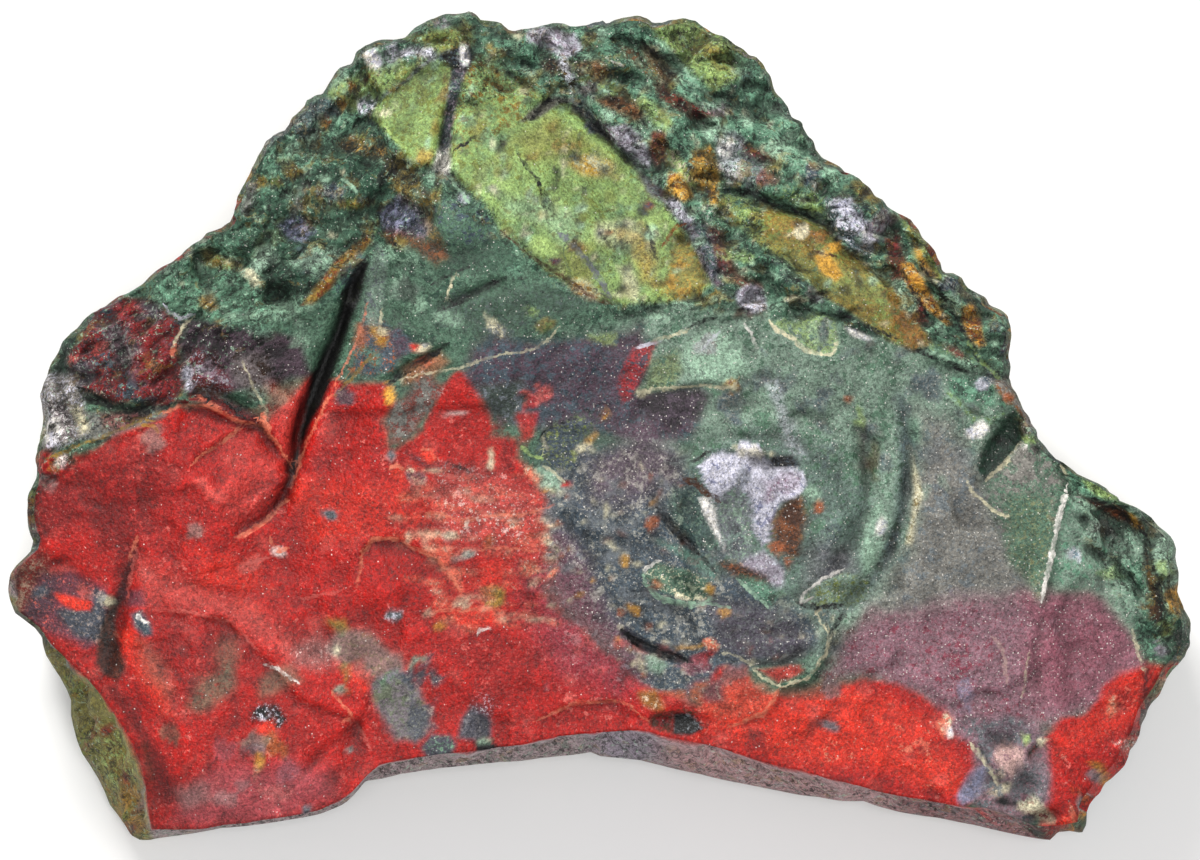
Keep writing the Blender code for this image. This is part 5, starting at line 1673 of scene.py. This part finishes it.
@dataclass
class Stone:
    """The block of bloodstone: one closed surface that stands for the plain solid."""

    drawing: Drawing = field(default_factory=Drawing)
    fineness: Fineness = field(default_factory=Fineness)
    edge_calm: float = 0.18
    rest_starts: float = 0.72
    wall_share: float = 0.5
    rest_cut: float = 0.8 * MM
    calm_height: float = 9 * MM
    belly_middle: tuple[float, float, float] = (2 * MM, 3 * MM, 0)
    ragged_size: float = 2.6 * MM
    ragged_reach: float = 3.0
    ragged_inset: float = 1.0
    bulge_share: float = 0.8
    bulge_inset: float = 0.7
    # Angles round the heart in degrees, counter-clockwise from the right, over which each one changes
    front_starts: Span = (196, 200)
    front_ends: Span = (318, 321)
    rind_starts: Span = (318, 330)
    rind_ends: Span = (188, 200)
    tip_ends: Span = (345, 358)
    # Zones over which each one changes: 0 is the upper side, 1 to 2 the flank, 2 to 3 the belly
    top_ends: float = 1.05
    wall_starts: Span = (0.9, 1.08)
    rough_starts: Span = (1, 1.3)
    hidden_starts: Span = (1.1, 1.55)
    hidden_starts_in_front: Span = (1.95, 2.2)
    tip_delay: float = 0.35
    no_stroke: float = -8

    def upper_side(self) -> tuple[Array, Array, Array]:
        """The upper side's drawing places and heights: a rectangle stretched radially to the edge.

        Returns:
            The places across, the places down and the heights, as flat arrays of the grid's rows.
        """
        fine = self.fineness
        across, up = np.meshgrid(np.linspace(-1, 1, fine.columns + 1), np.linspace(-1, 1, fine.rows + 1))
        share = np.maximum(np.abs(across), np.abs(up)).ravel()
        angle = np.arctan2(up.ravel() * fine.rows / fine.columns, across.ravel())
        edge = self.drawing.edge_radius(angle)
        turns = np.linspace(-self.edge_calm, self.edge_calm, 9)
        calm = np.mean([self.drawing.edge_radius(angle + turn) for turn in turns], axis=0)
        x, y = self.drawing.around((calm + (edge - calm) * share**4) * share, angle)
        return x, y, Relief(self.drawing).height(x, y)

    def hollows(self, height: Array) -> Array:
        """How far each place of the upper side lies under the mean of its surroundings, in mm."""
        grid = height.reshape(self.fineness.rows + 1, self.fineness.columns + 1)
        total = np.zeros_like(grid)
        for radius, weight in ((2, 1.0), (6, 0.5)):
            padded = np.pad(grid, radius + 1, mode="edge")
            sums = padded.cumsum(axis=0).cumsum(axis=1)
            wide = 2 * radius + 1
            box = sums[wide:, wide:] - sums[:-wide, wide:] - sums[wide:, :-wide] + sums[:-wide, :-wide]
            total += (box[:-1, :-1] / wide**2 - grid) * weight
        return (total / MM).ravel()

    def rim(self) -> tuple[Array, Array]:
        """The rim's places in the grid, once round counter-clockwise, and their angles."""
        fine = self.fineness
        index = np.arange((fine.rows + 1) * (fine.columns + 1)).reshape(fine.rows + 1, fine.columns + 1)
        places = np.concatenate([index[0, :-1], index[:-1, -1], index[-1, :0:-1], index[:0:-1, 0]])
        row, column = np.divmod(places, fine.columns + 1)
        up = (row / fine.rows * 2 - 1) * fine.rows / fine.columns
        return places, np.arctan2(up, column / fine.columns * 2 - 1)

    @staticmethod
    def turned(angle: Array) -> Array:
        """Angles as degrees from 0 to 360."""
        return np.degrees(angle) % 360

    def flank(self, angle: Array) -> tuple[list[Array], list[Array], list[Array]]:
        """Rings from under the edge to the girdle: out as a sine, down as a power, roughened between.

        Args:
            angle: the rim's angles round the heart.

        Returns:
            Lists of rings: world points, places across and places down.
        """
        drawing = self.drawing
        edge, outline = drawing.edge_radius(angle), drawing.loop_radius(OUTLINE, angle)
        turned = self.turned(angle)
        rind = ramp(turned, *self.rind_starts) + 1 - ramp(turned, *self.rind_ends)
        circle = np.stack([np.cos(angle), np.sin(angle), angle * 0], axis=1) * outline[:, None] * drawing.mark
        ragged = Chance.layered(circle, self.ragged_size, 2, 34) * self.ragged_reach
        outline = outline + rind * (ragged - self.ragged_inset)
        top = Relief(drawing).height(*drawing.around(edge, angle))
        bearings, depths = np.array(GIRDLE, float).T
        low = np.interp(np.degrees(angle), bearings, depths, period=360) * MM
        points, across, down = [], [], []
        for ring in range(1, self.fineness.flank_rings + 1):
            share = ring / self.fineness.flank_rings
            reach = edge + (outline - edge) * math.sin(share * math.pi / 2)
            height = top + (low - top) * share**1.15
            flat = np.stack([reach * np.cos(angle), reach * np.sin(angle), height / drawing.mark], axis=1)
            places = flat * drawing.mark
            bulge = Broken.total(FLANK_LUMPS, places) - self.bulge_inset
            fade = min(share * 4, 1, (1 - share) * 2.5) * self.bulge_share
            reach = reach + bulge * MM / drawing.mark * fade
            x, y = drawing.around(np.minimum(reach, outline), angle)
            points.append(drawing.to_world(x, y, height))
            across.append(x)
            down.append(y)
        return points, across, down

    def belly(self, girdle: Array) -> list[Array]:
        """Rings from the girdle to the middle: they close in while they sink to just below rest.

        The depth left is a share of a quarter circle plus a share of left^1.5, left being what
        is still to go to where the rest starts.
        """
        middle = np.array(self.belly_middle)
        made = []
        for ring in range(1, self.fineness.belly_rings):
            share = ring / self.fineness.belly_rings
            left = 1 - min(share / self.rest_starts, 1)
            sunk = 1 - self.wall_share * (1 - math.sqrt(1 - left**2)) - (1 - self.wall_share) * left**1.5
            points = girdle + (middle - girdle) * share
            points[:, 2] = girdle[:, 2] * (1 - sunk) - self.rest_cut * sunk
            swell = Broken.total(BELLY_LUMPS, points)
            rough = ramp(share, 0, 0.08) * ramp(points[:, 2], -self.rest_cut, self.calm_height)
            points[:, 2] = np.maximum(points[:, 2] + swell * MM * rough, 0)
            made.append(points)
        return made

    @staticmethod
    def bands(upper: Array, lower: Array) -> Array:
        """Quads between two rings of places, facing outwards when the rings run counter-clockwise."""
        return np.stack([upper, lower, np.roll(lower, -1), np.roll(upper, -1)], axis=1)

    def surface(self) -> StoneMesh:
        """Joins the upper side, the flank, the belly and the rest into one closed surface."""
        x, y, height = self.upper_side()
        upper = self.drawing.to_world(x, y, height)
        places, angle = self.rim()
        flank, across, down = self.flank(angle)
        belly = self.belly(flank[-1][::2])
        middle = np.array([[self.belly_middle[0], self.belly_middle[1], 0]])
        points = np.concatenate([upper, *flank, *belly, middle])
        count, columns, rows = len(places), self.fineness.columns, self.fineness.rows
        all_x = np.concatenate([x, *across, *([across[-1][::2]] * len(belly)), [self.drawing.heart[0]]])
        all_y = np.concatenate([y, *down, *([down[-1][::2]] * len(belly)), [self.drawing.heart[1]]])
        flank_zone = 1 + np.repeat(np.arange(1, len(flank) + 1) / len(flank), count)
        belly_zone = 2 + np.repeat(np.arange(1, len(belly) + 1) / len(belly), count // 2)
        zone = np.concatenate([np.zeros(len(upper)), flank_zone, belly_zone, [3]])
        hollow = np.zeros(len(points))
        hollow[: len(upper)] = self.hollows(height)

        first = (np.arange(rows)[:, None] * (columns + 1) + np.arange(columns)).ravel()
        quads = [np.stack([first, first + 1, first + columns + 2, first + columns + 1], axis=1)]
        here = places
        for ring in range(len(flank)):
            below = len(upper) + ring * count + np.arange(count)
            quads.append(self.bands(here, below))
            here = below
        below = len(upper) + len(flank) * count + np.arange(count // 2)
        even, odd = here[::2], here[1::2]
        fans = [
            np.stack([even, below, odd], axis=1),
            np.stack([odd, below, np.roll(below, -1)], axis=1),
            np.stack([odd, np.roll(below, -1), np.roll(even, -1)], axis=1),
        ]
        here = below
        for _ in range(1, len(belly)):
            below = here + count // 2
            quads.append(self.bands(here, below))
            here = below
        fans.append(np.stack([here, np.full(len(here), len(points) - 1), np.roll(here, -1)], axis=1))
        faces = np.concatenate(quads).tolist() + np.concatenate(fans).tolist()
        return StoneMesh(points, all_x, all_y, zone, hollow, faces)

    def coats(self, made: StoneMesh) -> Coat:
        """Paints the surface: the drawing's marks above, the wall's in front, the rind's below."""
        paint = Paintwork()
        upper = paint.brush([*FIELDS, *MARKS], made.x, made.y, made.points)
        wall = paint.brush(WALL, made.x, made.y, made.points)
        under = paint.underside(made.points)
        angle = self.turned(np.arctan2(self.drawing.heart[1] - made.y, made.x - self.drawing.heart[0]))
        in_front = ramp(angle, *self.front_starts) * (1 - ramp(angle, *self.front_ends))
        is_wall = ramp(made.zone, *self.wall_starts) * in_front
        ragged = Chance.layered(made.points, 9 * MM, 4, 68) * 0.5 * ramp(made.zone, *self.rough_starts)
        late = self.tip_delay * ramp(angle, *self.rind_starts) * (1 - ramp(angle, *self.tip_ends))
        behind = ramp(made.zone - late + ragged, *self.hidden_starts)
        is_under = behind * (1 - in_front) + ramp(made.zone, *self.hidden_starts_in_front) * in_front
        return upper.over(wall, is_wall).over(under, is_under)

    def build(self) -> tuple[bpy.types.Object, Array]:
        """Makes the stone's object and paints its points.

        Returns:
            The object, and the shift that centres the drawing's frame on the origin.
        """
        made = self.surface()
        centre = (made.points.min(axis=0) + made.points.max(axis=0)) / 2
        shift = np.array([-centre[0], -centre[1], 0])
        coat = self.coats(made)
        aside, width, ink = Paintwork().ink(made.x, made.y, made.points)
        broken = Relief(self.drawing).roughness(made.x, made.y) * (made.zone < 2)
        broken = np.maximum(broken, ramp(made.zone, *self.rough_starts) * 0.8)

        mesh = bpy.data.meshes.new("stone_skin")
        mesh.from_pydata((made.points + shift).tolist(), [], made.faces)
        mesh.shade_smooth()
        for name, kind, place, values in (
            ("ground", "FLOAT_COLOR", "color", np.column_stack([coat.ground, broken])),
            ("fleck", "FLOAT_COLOR", "color", np.column_stack([coat.fleck, coat.share])),
            ("ink", "FLOAT_COLOR", "color", ink),
            ("aside", "FLOAT", "value", aside),
            ("width", "FLOAT", "value", np.where(made.zone < self.top_ends, width, self.no_stroke)),
            ("glint", "FLOAT", "value", coat.glint),
            ("hollow", "FLOAT", "value", np.clip(made.hollow, -1, 1)),
        ):
            layer = mesh.attributes.new(name, kind, "POINT")
            layer.data.foreach_set(place, values.astype(np.float32).ravel())
        mesh.materials.append(StoneFinish().material())
        stone = linked("stone_skin", mesh)
        log.info("stone_skin: %d points, %d faces", len(made.points), len(made.faces))
        return stone, shift


MARKS = [
    *LEFT_LOBE, *BULB, *CENTRE, *QUARTZ_EYE, *RIGHT_TIP, *RIND_LEFT, *RIND_TOP_MARKS, *RIND_RIGHT,
    *CRUMBS, *SHOULDER,
]


@dataclass
class Graph:
    """A node tree under construction, with short names for what its builders need."""

    tree: bpy.types.NodeTree

    def node(self, kind: str, **inputs: object) -> bpy.types.Node:
        """Adds a node: names with a small first letter are its settings, the others its inputs.

        Args:
            kind: the node's type, without the words ShaderNode.
            **inputs: settings such as operation, and sockets such as Scale.

        Returns:
            The node.
        """
        made = self.tree.nodes.new("ShaderNode" + kind)
        for name, value in inputs.items():
            if name[0].islower():
                setattr(made, name, value)
        for name, value in inputs.items():
            if not name[0].islower():
                self.feed(made.inputs[name.replace("_", " ")], value)
        return made

    def feed(self, socket: Socket, value: object) -> None:
        """Links a socket's source to it, or sets its fixed value."""
        if isinstance(value, Socket):
            self.tree.links.new(value, socket)
        else:
            socket.default_value = value

    def maths(self, operation: str, first: object, second: object = 0.0, clamp: bool = False) -> Socket:
        """One calculation on one or two values."""
        made = self.node("Math", operation=operation, use_clamp=clamp)
        self.feed(made.inputs[0], first)
        self.feed(made.inputs[1], second)
        return made.outputs[0]

    def times(self, first: object, second: object) -> Socket:
        """One value times another."""
        return self.maths("MULTIPLY", first, second)

    def swing(self, value: object, strength: float) -> Socket:
        """A value from 0 to 1 as a swing round 0, times a strength."""
        return self.times(self.maths("SUBTRACT", value, 0.5), strength)

    def step(self, value: object, start: float, end: float, low: float = 0.0, high: float = 1.0) -> Socket:
        """Low before start, high after end, smooth between them."""
        made = self.node("MapRange", interpolation_type="SMOOTHSTEP")
        names = ("Value", "From Min", "From Max", "To Min", "To Max")
        for name, given in zip(names, (value, start, end, low, high)):
            self.feed(made.inputs[name], given)
        return made.outputs["Result"]

    def mix(self, weight: object, first: object, second: object, blend: str = "MIX") -> Socket:
        """Two colours mixed by a weight."""
        made = self.node("Mix", data_type="RGBA", blend_type=blend)
        for index, given in ((0, weight), (6, first), (7, second)):
            self.feed(made.inputs[index], given)
        return made.outputs[2]

    def tint(self, colour: object, mask: object, tone: Tone, strength: float) -> Socket:
        """The colour with a tone over it where the mask shows, at most at a strength."""
        return self.mix(self.times(mask, strength), colour, (*tone.linear, 1))

    def shaded(self, colour: object, value: object) -> Socket:
        """The colour times a value."""
        grey = self.node("CombineColor", Red=value, Green=value, Blue=value).outputs["Color"]
        return self.mix(1.0, colour, grey, "MULTIPLY")

    def noise(self, place: object, size: float, detail: float, roughness: float) -> Socket:
        """Cloudy noise with lumps of a size in metres."""
        made = self.node("TexNoise", Vector=place, Scale=1 / size, Detail=detail, Roughness=roughness)
        return made.outputs["Factor"] if "Factor" in made.outputs else made.outputs[0]

    def shaker(self, place: object, size: float, detail: float) -> Socket:
        """Noise of a size in metres as a vector, to shift places by."""
        return self.node("TexNoise", Vector=place, Scale=1 / size, Detail=detail).outputs["Color"]

    def shifted(self, place: object, shake: object, reach: float) -> Socket:
        """The places shifted by a vector times a reach in metres."""
        made = self.node("VectorMath", operation="MULTIPLY_ADD")
        for socket, given in zip(made.inputs, (shake, (reach,) * 3, place)):
            self.feed(socket, given)
        return made.outputs[0]

    def cells(self, place: object, size: float) -> bpy.types.NodeOutputs:
        """Cells of a size in metres."""
        return self.node("TexVoronoi", Vector=place, Scale=1 / size).outputs

    def lots(self, cells: bpy.types.NodeOutputs) -> bpy.types.NodeOutputs:
        """The cells' random numbers from 0 to 1, as Red, Green and Blue."""
        return self.node("SeparateColor", Color=cells["Color"]).outputs

    def attributes(self, *names: str) -> list[bpy.types.NodeOutputs]:
        """What the mesh carries under each name."""
        return [self.node("Attribute", attribute_name=name).outputs for name in names]

    def effect(self, tree: bpy.types.NodeTree, **inputs: object) -> bpy.types.NodeOutputs:
        """Puts a group to use."""
        return self.node("Group", node_tree=tree, **inputs).outputs


def group(name: str, inputs: str, outputs: str) -> tuple[Graph, bpy.types.NodeOutputs, bpy.types.NodeInputs]:
    """Starts a shader group, whose Place is a vector and whose other sockets are values.

    Args:
        name: its name.
        inputs: the names of its inputs.
        outputs: the names of its outputs.

    Returns:
        Its graph, the sockets its inputs come from and the sockets its outputs go to.
    """
    tree = bpy.data.node_groups.new(name, "ShaderNodeTree")
    for words, way in ((inputs, "INPUT"), (outputs, "OUTPUT")):
        for word in words.split():
            kind = "NodeSocketVector" if word == "Place" else "NodeSocketFloat"
            tree.interface.new_socket(word, in_out=way, socket_type=kind)
    return Graph(tree), tree.nodes.new("NodeGroupInput").outputs, tree.nodes.new("NodeGroupOutput").inputs


@dataclass(frozen=True)
class StoneFinish:
    """The stone's surface: brushed colours with flecks and grain, waxy on the break and dull on the rind."""

    break_roughness: float = 0.5
    rind_roughness: float = 0.78
    speck_gloss: float = -0.3
    bump_height: float = 0.5 * MM
    refraction: float = 1.54
    specular: float = 0.35

    def flecks(self) -> bpy.types.NodeTree:
        """Group: a mask of small ragged flecks that takes the given share of the surface."""
        graph, given, result = group("flecks", "Place Share", "Mask")
        place = given["Place"]
        fine, broad = graph.noise(place, 1.2 * MM, 5, 0.72), graph.noise(place, 6 * MM, 2, 0.5)
        both = graph.maths("ADD", graph.times(fine, 0.7), graph.times(broad, 0.3))
        level = graph.maths("SUBTRACT", 0.65, graph.times(given["Share"], 0.3))
        crumbs = graph.maths("SUBTRACT", graph.noise(place, 0.42 * MM, 4, 0.7), level)
        scattered = graph.step(crumbs, -0.03, 0.02, 0.0, 0.55)
        flecked = graph.step(graph.maths("SUBTRACT", both, level), -0.015, 0.018)
        graph.feed(result["Mask"], graph.maths("MAXIMUM", flecked, scattered))
        return graph.tree

    def grain(self) -> bpy.types.NodeTree:
        """Group: how bright the grain is, round 1, from broad clouds down to single crystals."""
        graph, given, result = group("grain", "Place", "Value")
        place = given["Place"]
        total: object = 1.0
        for size, weight in ((22 * MM, 0.5), (2.4 * MM, 0.7), (0.7 * MM, 0.6)):
            total = graph.maths("ADD", total, graph.swing(graph.noise(place, size, 3, 0.6), weight))
        for size, weight in ((0.17 * MM, 0.6), (0.36 * MM, 0.55)):
            lot = graph.lots(graph.cells(place, size))["Green"]
            total = graph.maths("ADD", total, graph.swing(lot, weight))
        graph.feed(result["Value"], graph.maths("MAXIMUM", total, 0.1))
        return graph.tree

    def specks(self) -> bpy.types.NodeTree:
        """Group: masks of tiny pale specks, pale crystals and painted glints both, and of tiny dark pits,
        more of them where Glint is high.
        """
        graph, given, result = group("specks", "Place Glint", "Pale Dark")
        shake = graph.shaker(given["Place"], 0.3 * MM, 2)
        for name, size, most in (("Pale", 0.2 * MM, 0.16), ("Dark", 0.3 * MM, 0.16)):
            cells = graph.cells(graph.shifted(given["Place"], shake, size * 0.9), size)
            lots = graph.lots(cells)
            level = graph.maths("SUBTRACT", 1.0, graph.times(given["Glint"], most))
            chosen = graph.maths("GREATER_THAN", lots["Red"], level)
            spread = graph.step(cells["Distance"], 0.25, 0.6, 1.0, 0.0)
            strength = graph.times(spread, graph.maths("POWER", lots["Blue"], 2.0))
            graph.feed(result[name], graph.times(chosen, strength))
        return graph.tree

    def crumbs(self) -> bpy.types.NodeTree:
        """Group: masks of the rind's pale, dark and rusty crumbs and of its cracks, none on the break."""
        graph, given, result = group("crumbs", "Place Roughness", "Pale Dark Rusty Crack")
        place = given["Place"]
        rind = graph.step(given["Roughness"], 0.25, 0.8)
        warped = graph.shifted(place, graph.shaker(place, 1.2 * MM, 3), 1.4 * MM)
        off_middle = graph.maths("SUBTRACT", graph.noise(warped, 4.2 * MM, 4, 0.6), 0.5)
        ridge = graph.maths("ABSOLUTE", off_middle)
        for name, mask in (
            ("Pale", graph.step(graph.noise(warped, 0.75 * MM, 4, 0.68), 0.575, 0.64)),
            ("Dark", graph.step(graph.noise(place, 0.9 * MM, 4, 0.7), 0.455, 0.385)),
            ("Rusty", graph.step(graph.noise(warped, 3.4 * MM, 5, 0.68), 0.56, 0.63)),
            ("Crack", graph.step(ridge, 0.0, 0.02, 1.0, 0.0)),
        ):
            graph.feed(result[name], graph.times(mask, rind))
        return graph.tree

    def relief(self) -> bpy.types.NodeTree:
        """Group: the height of the finest relief, from 0 to about 1, grittier where Roughness is high."""
        graph, given, result = group("relief", "Place Roughness", "Height")
        place = given["Place"]
        waves = graph.times(graph.noise(place, 1.4 * MM, 4, 0.6), 0.6)
        grit = graph.times(graph.noise(place, 0.35 * MM, 3, 0.65), 0.28)
        away = graph.cells(place, 1.1 * MM)["Distance"]
        flats = graph.times(graph.times(away, given["Roughness"]), 0.8)
        graph.feed(result["Height"], graph.maths("ADD", graph.maths("ADD", waves, grit), flats))
        return graph.tree

    def strokes(self) -> bpy.types.NodeTree:
        """Group: a mask of the drawn strokes, crooked, uneven and broken by noise."""
        graph, given, result = group("strokes", "Place Aside Width", "Mask")
        place = given["Place"]
        crooked = graph.swing(graph.noise(place, 1.1 * MM, 4, 0.6), 9.0)
        uneven = graph.swing(graph.noise(place, 0.5 * MM, 3, 0.65), 4.0)
        gap = graph.maths("ABSOLUTE", graph.maths("ADD", given["Aside"], crooked))
        margin = graph.maths("SUBTRACT", graph.maths("ADD", given["Width"], uneven), gap)
        broken = graph.step(graph.noise(place, 1.7 * MM, 3, 0.6), 0.36, 0.56, 0.35, 1.0)
        lot = graph.lots(graph.cells(place, 0.4 * MM))["Red"]
        crumbled = graph.times(broken, graph.step(lot, 0.0, 0.8, 0.45, 1.0))
        graph.feed(result["Mask"], graph.times(graph.step(margin, -0.9, 0.5), crumbled))
        return graph.tree

    def material(self) -> bpy.types.Material:
        """Builds the material: flecked ground, crumbs, grain, specks of pale crystal and painted glint,
        strokes, and painted shade in the hollows with painted light on the ridges.
        """
        made = bpy.data.materials.new("bloodstone_skin")
        made.use_nodes = True
        graph = Graph(made.node_tree)
        place = graph.node("TexCoord").outputs["Object"]
        ground, fleck, ink = graph.attributes("ground", "fleck", "ink")
        glint, hollow, aside, width = (
            given["Fac"] for given in graph.attributes("glint", "hollow", "aside", "width")
        )
        rough = ground["Alpha"]
        flecks = graph.effect(self.flecks(), Place=place, Share=fleck["Alpha"])
        grain = graph.effect(self.grain(), Place=place)
        specks = graph.effect(self.specks(), Place=place, Glint=glint)
        strokes = graph.effect(self.strokes(), Place=place, Aside=aside, Width=width)
        relief = graph.effect(self.relief(), Place=place, Roughness=rough)
        crumbs = graph.effect(self.crumbs(), Place=place, Roughness=rough)

        colour = graph.mix(flecks["Mask"], ground["Color"], fleck["Color"])
        colour = graph.tint(colour, crumbs["Rusty"], Tone.BRONZE, 0.4)
        colour = graph.tint(colour, crumbs["Pale"], Tone.MINT, 0.5)
        colour = graph.tint(colour, crumbs["Dark"], Tone.BOG, 0.7)
        colour = graph.tint(colour, crumbs["Crack"], Tone.INK, 0.75)
        colour = graph.shaded(colour, grain["Value"])
        # Pale specks: partly pale crystals, partly painted glints of light.
        colour = graph.tint(colour, specks["Pale"], Tone.MILK, 0.8)
        colour = graph.tint(colour, specks["Dark"], Tone.PITCH, 0.6)
        colour = graph.mix(graph.times(strokes["Mask"], ink["Alpha"]), colour, ink["Color"])
        # Painted shade and light: below the mean of its surroundings the colour is darkened, to 0.42 at most,
        # and on ridges above it lightened, to 1.42 at most.
        colour = graph.shaded(colour, graph.step(hollow, -0.55, 0.8, 1.42, 0.42))

        dull = graph.step(rough, 0.0, 1.0, self.break_roughness, self.rind_roughness)
        gloss = graph.times(specks["Pale"], self.speck_gloss)
        bump = graph.node("Bump", Height=relief["Height"], Distance=self.bump_height, Strength=1.0)
        shader = made.node_tree.nodes["Principled BSDF"].inputs
        for name, value in (
            ("Base Color", colour),
            ("Roughness", graph.maths("ADD", dull, gloss, clamp=True)),
            ("Normal", bump.outputs["Normal"]),
            ("IOR", self.refraction),
            ("Specular IOR Level", self.specular),
        ):
            graph.feed(shader[name], value)
        return made


@dataclass(frozen=True)
class Lamp:
    """A square soft light: its name, place, size and power in watts, and its colour."""

    name: str
    place: tuple[float, float, float]
    size: float
    power: float
    colour: tuple[float, float, float] = (1.0, 1.0, 1.0)

    def add(self) -> None:
        """Adds the light, facing the stone."""
        lamp = bpy.data.lights.new(self.name, "AREA")
        lamp.size, lamp.energy, lamp.color = self.size, self.power, self.colour
        made = linked(self.name, lamp)
        made.location = self.place
        made.rotation_euler = Vector(self.place).to_track_quat("Z", "Y").to_euler()


KEY = Lamp("key", (-0.26, 0.66, 0.8), 0.34, 8.7, (1.0, 0.985, 0.96))
FRONT = Lamp("front", (0.06, -0.32, 1.1), 0.35, 6.5)


@dataclass(frozen=True)
class Studio:
    """Floor, lights, sky and camera."""

    drawing: Drawing
    shift: Array
    floor_size: float = 3.0
    floor_colour: tuple[float, float, float, float] = (0.97, 0.965, 0.96, 1)
    floor_roughness: float = 0.9
    sky: float = 0.33
    sky_colour: tuple[float, float, float, float] = (0.97, 0.98, 1.0, 1)
    sensor: float = 36.0

    def floor(self) -> None:
        """A plain pale floor at the height the stone rests on."""
        half = self.floor_size / 2
        corners = [(-half, -half, 0), (half, -half, 0), (half, half, 0), (-half, half, 0)]
        mesh = bpy.data.meshes.new("floor")
        mesh.from_pydata(corners, [], [(0, 1, 2, 3)])
        paper = bpy.data.materials.new("pale_floor")
        paper.use_nodes = True
        shader = paper.node_tree.nodes["Principled BSDF"]
        shader.inputs["Base Color"].default_value = self.floor_colour
        shader.inputs["Roughness"].default_value = self.floor_roughness
        mesh.materials.append(paper)
        linked("floor", mesh)

    def lights(self) -> None:
        """A large soft key light over the stone's far side, and an even sky."""
        KEY.add()
        FRONT.add()
        world = bpy.data.worlds.new("sky")
        world.use_nodes = True
        sky = world.node_tree.nodes["Background"]
        sky.inputs["Color"].default_value = self.sky_colour
        sky.inputs["Strength"].default_value = self.sky
        bpy.context.scene.world = world

    def camera(self) -> None:
        """The camera on the drawing plane's axis, so that one mark is one pixel of the picture."""
        drawing = self.drawing
        lens = bpy.data.cameras.new("camera")
        lens.sensor_width = self.sensor
        lens.lens = self.sensor * drawing.eye_distance / (drawing.picture_marks * drawing.mark)
        made = linked("camera", lens)
        axis = np.array([0, -math.sin(drawing.tilt), math.cos(drawing.tilt)])
        target = np.array([0, 0, drawing.plane_height]) + self.shift
        made.location = target + axis * drawing.eye_distance
        made.rotation_euler = (drawing.tilt, 0, 0)
        bpy.context.scene.camera = made


def main() -> None:
    """Builds the stone and the studio."""
    logging.basicConfig(level=logging.INFO, format="%(message)s")
    stone, shift = Stone().build()
    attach(stone, "root")
    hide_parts("bloodstone")
    studio = Studio(Drawing(), shift)
    studio.floor()
    studio.lights()
    studio.camera()
    bpy.context.scene.view_settings.view_transform = "Standard"
    log.info("studio: floor, two lights, sky and camera")


if __name__ == "__main__":
    main()
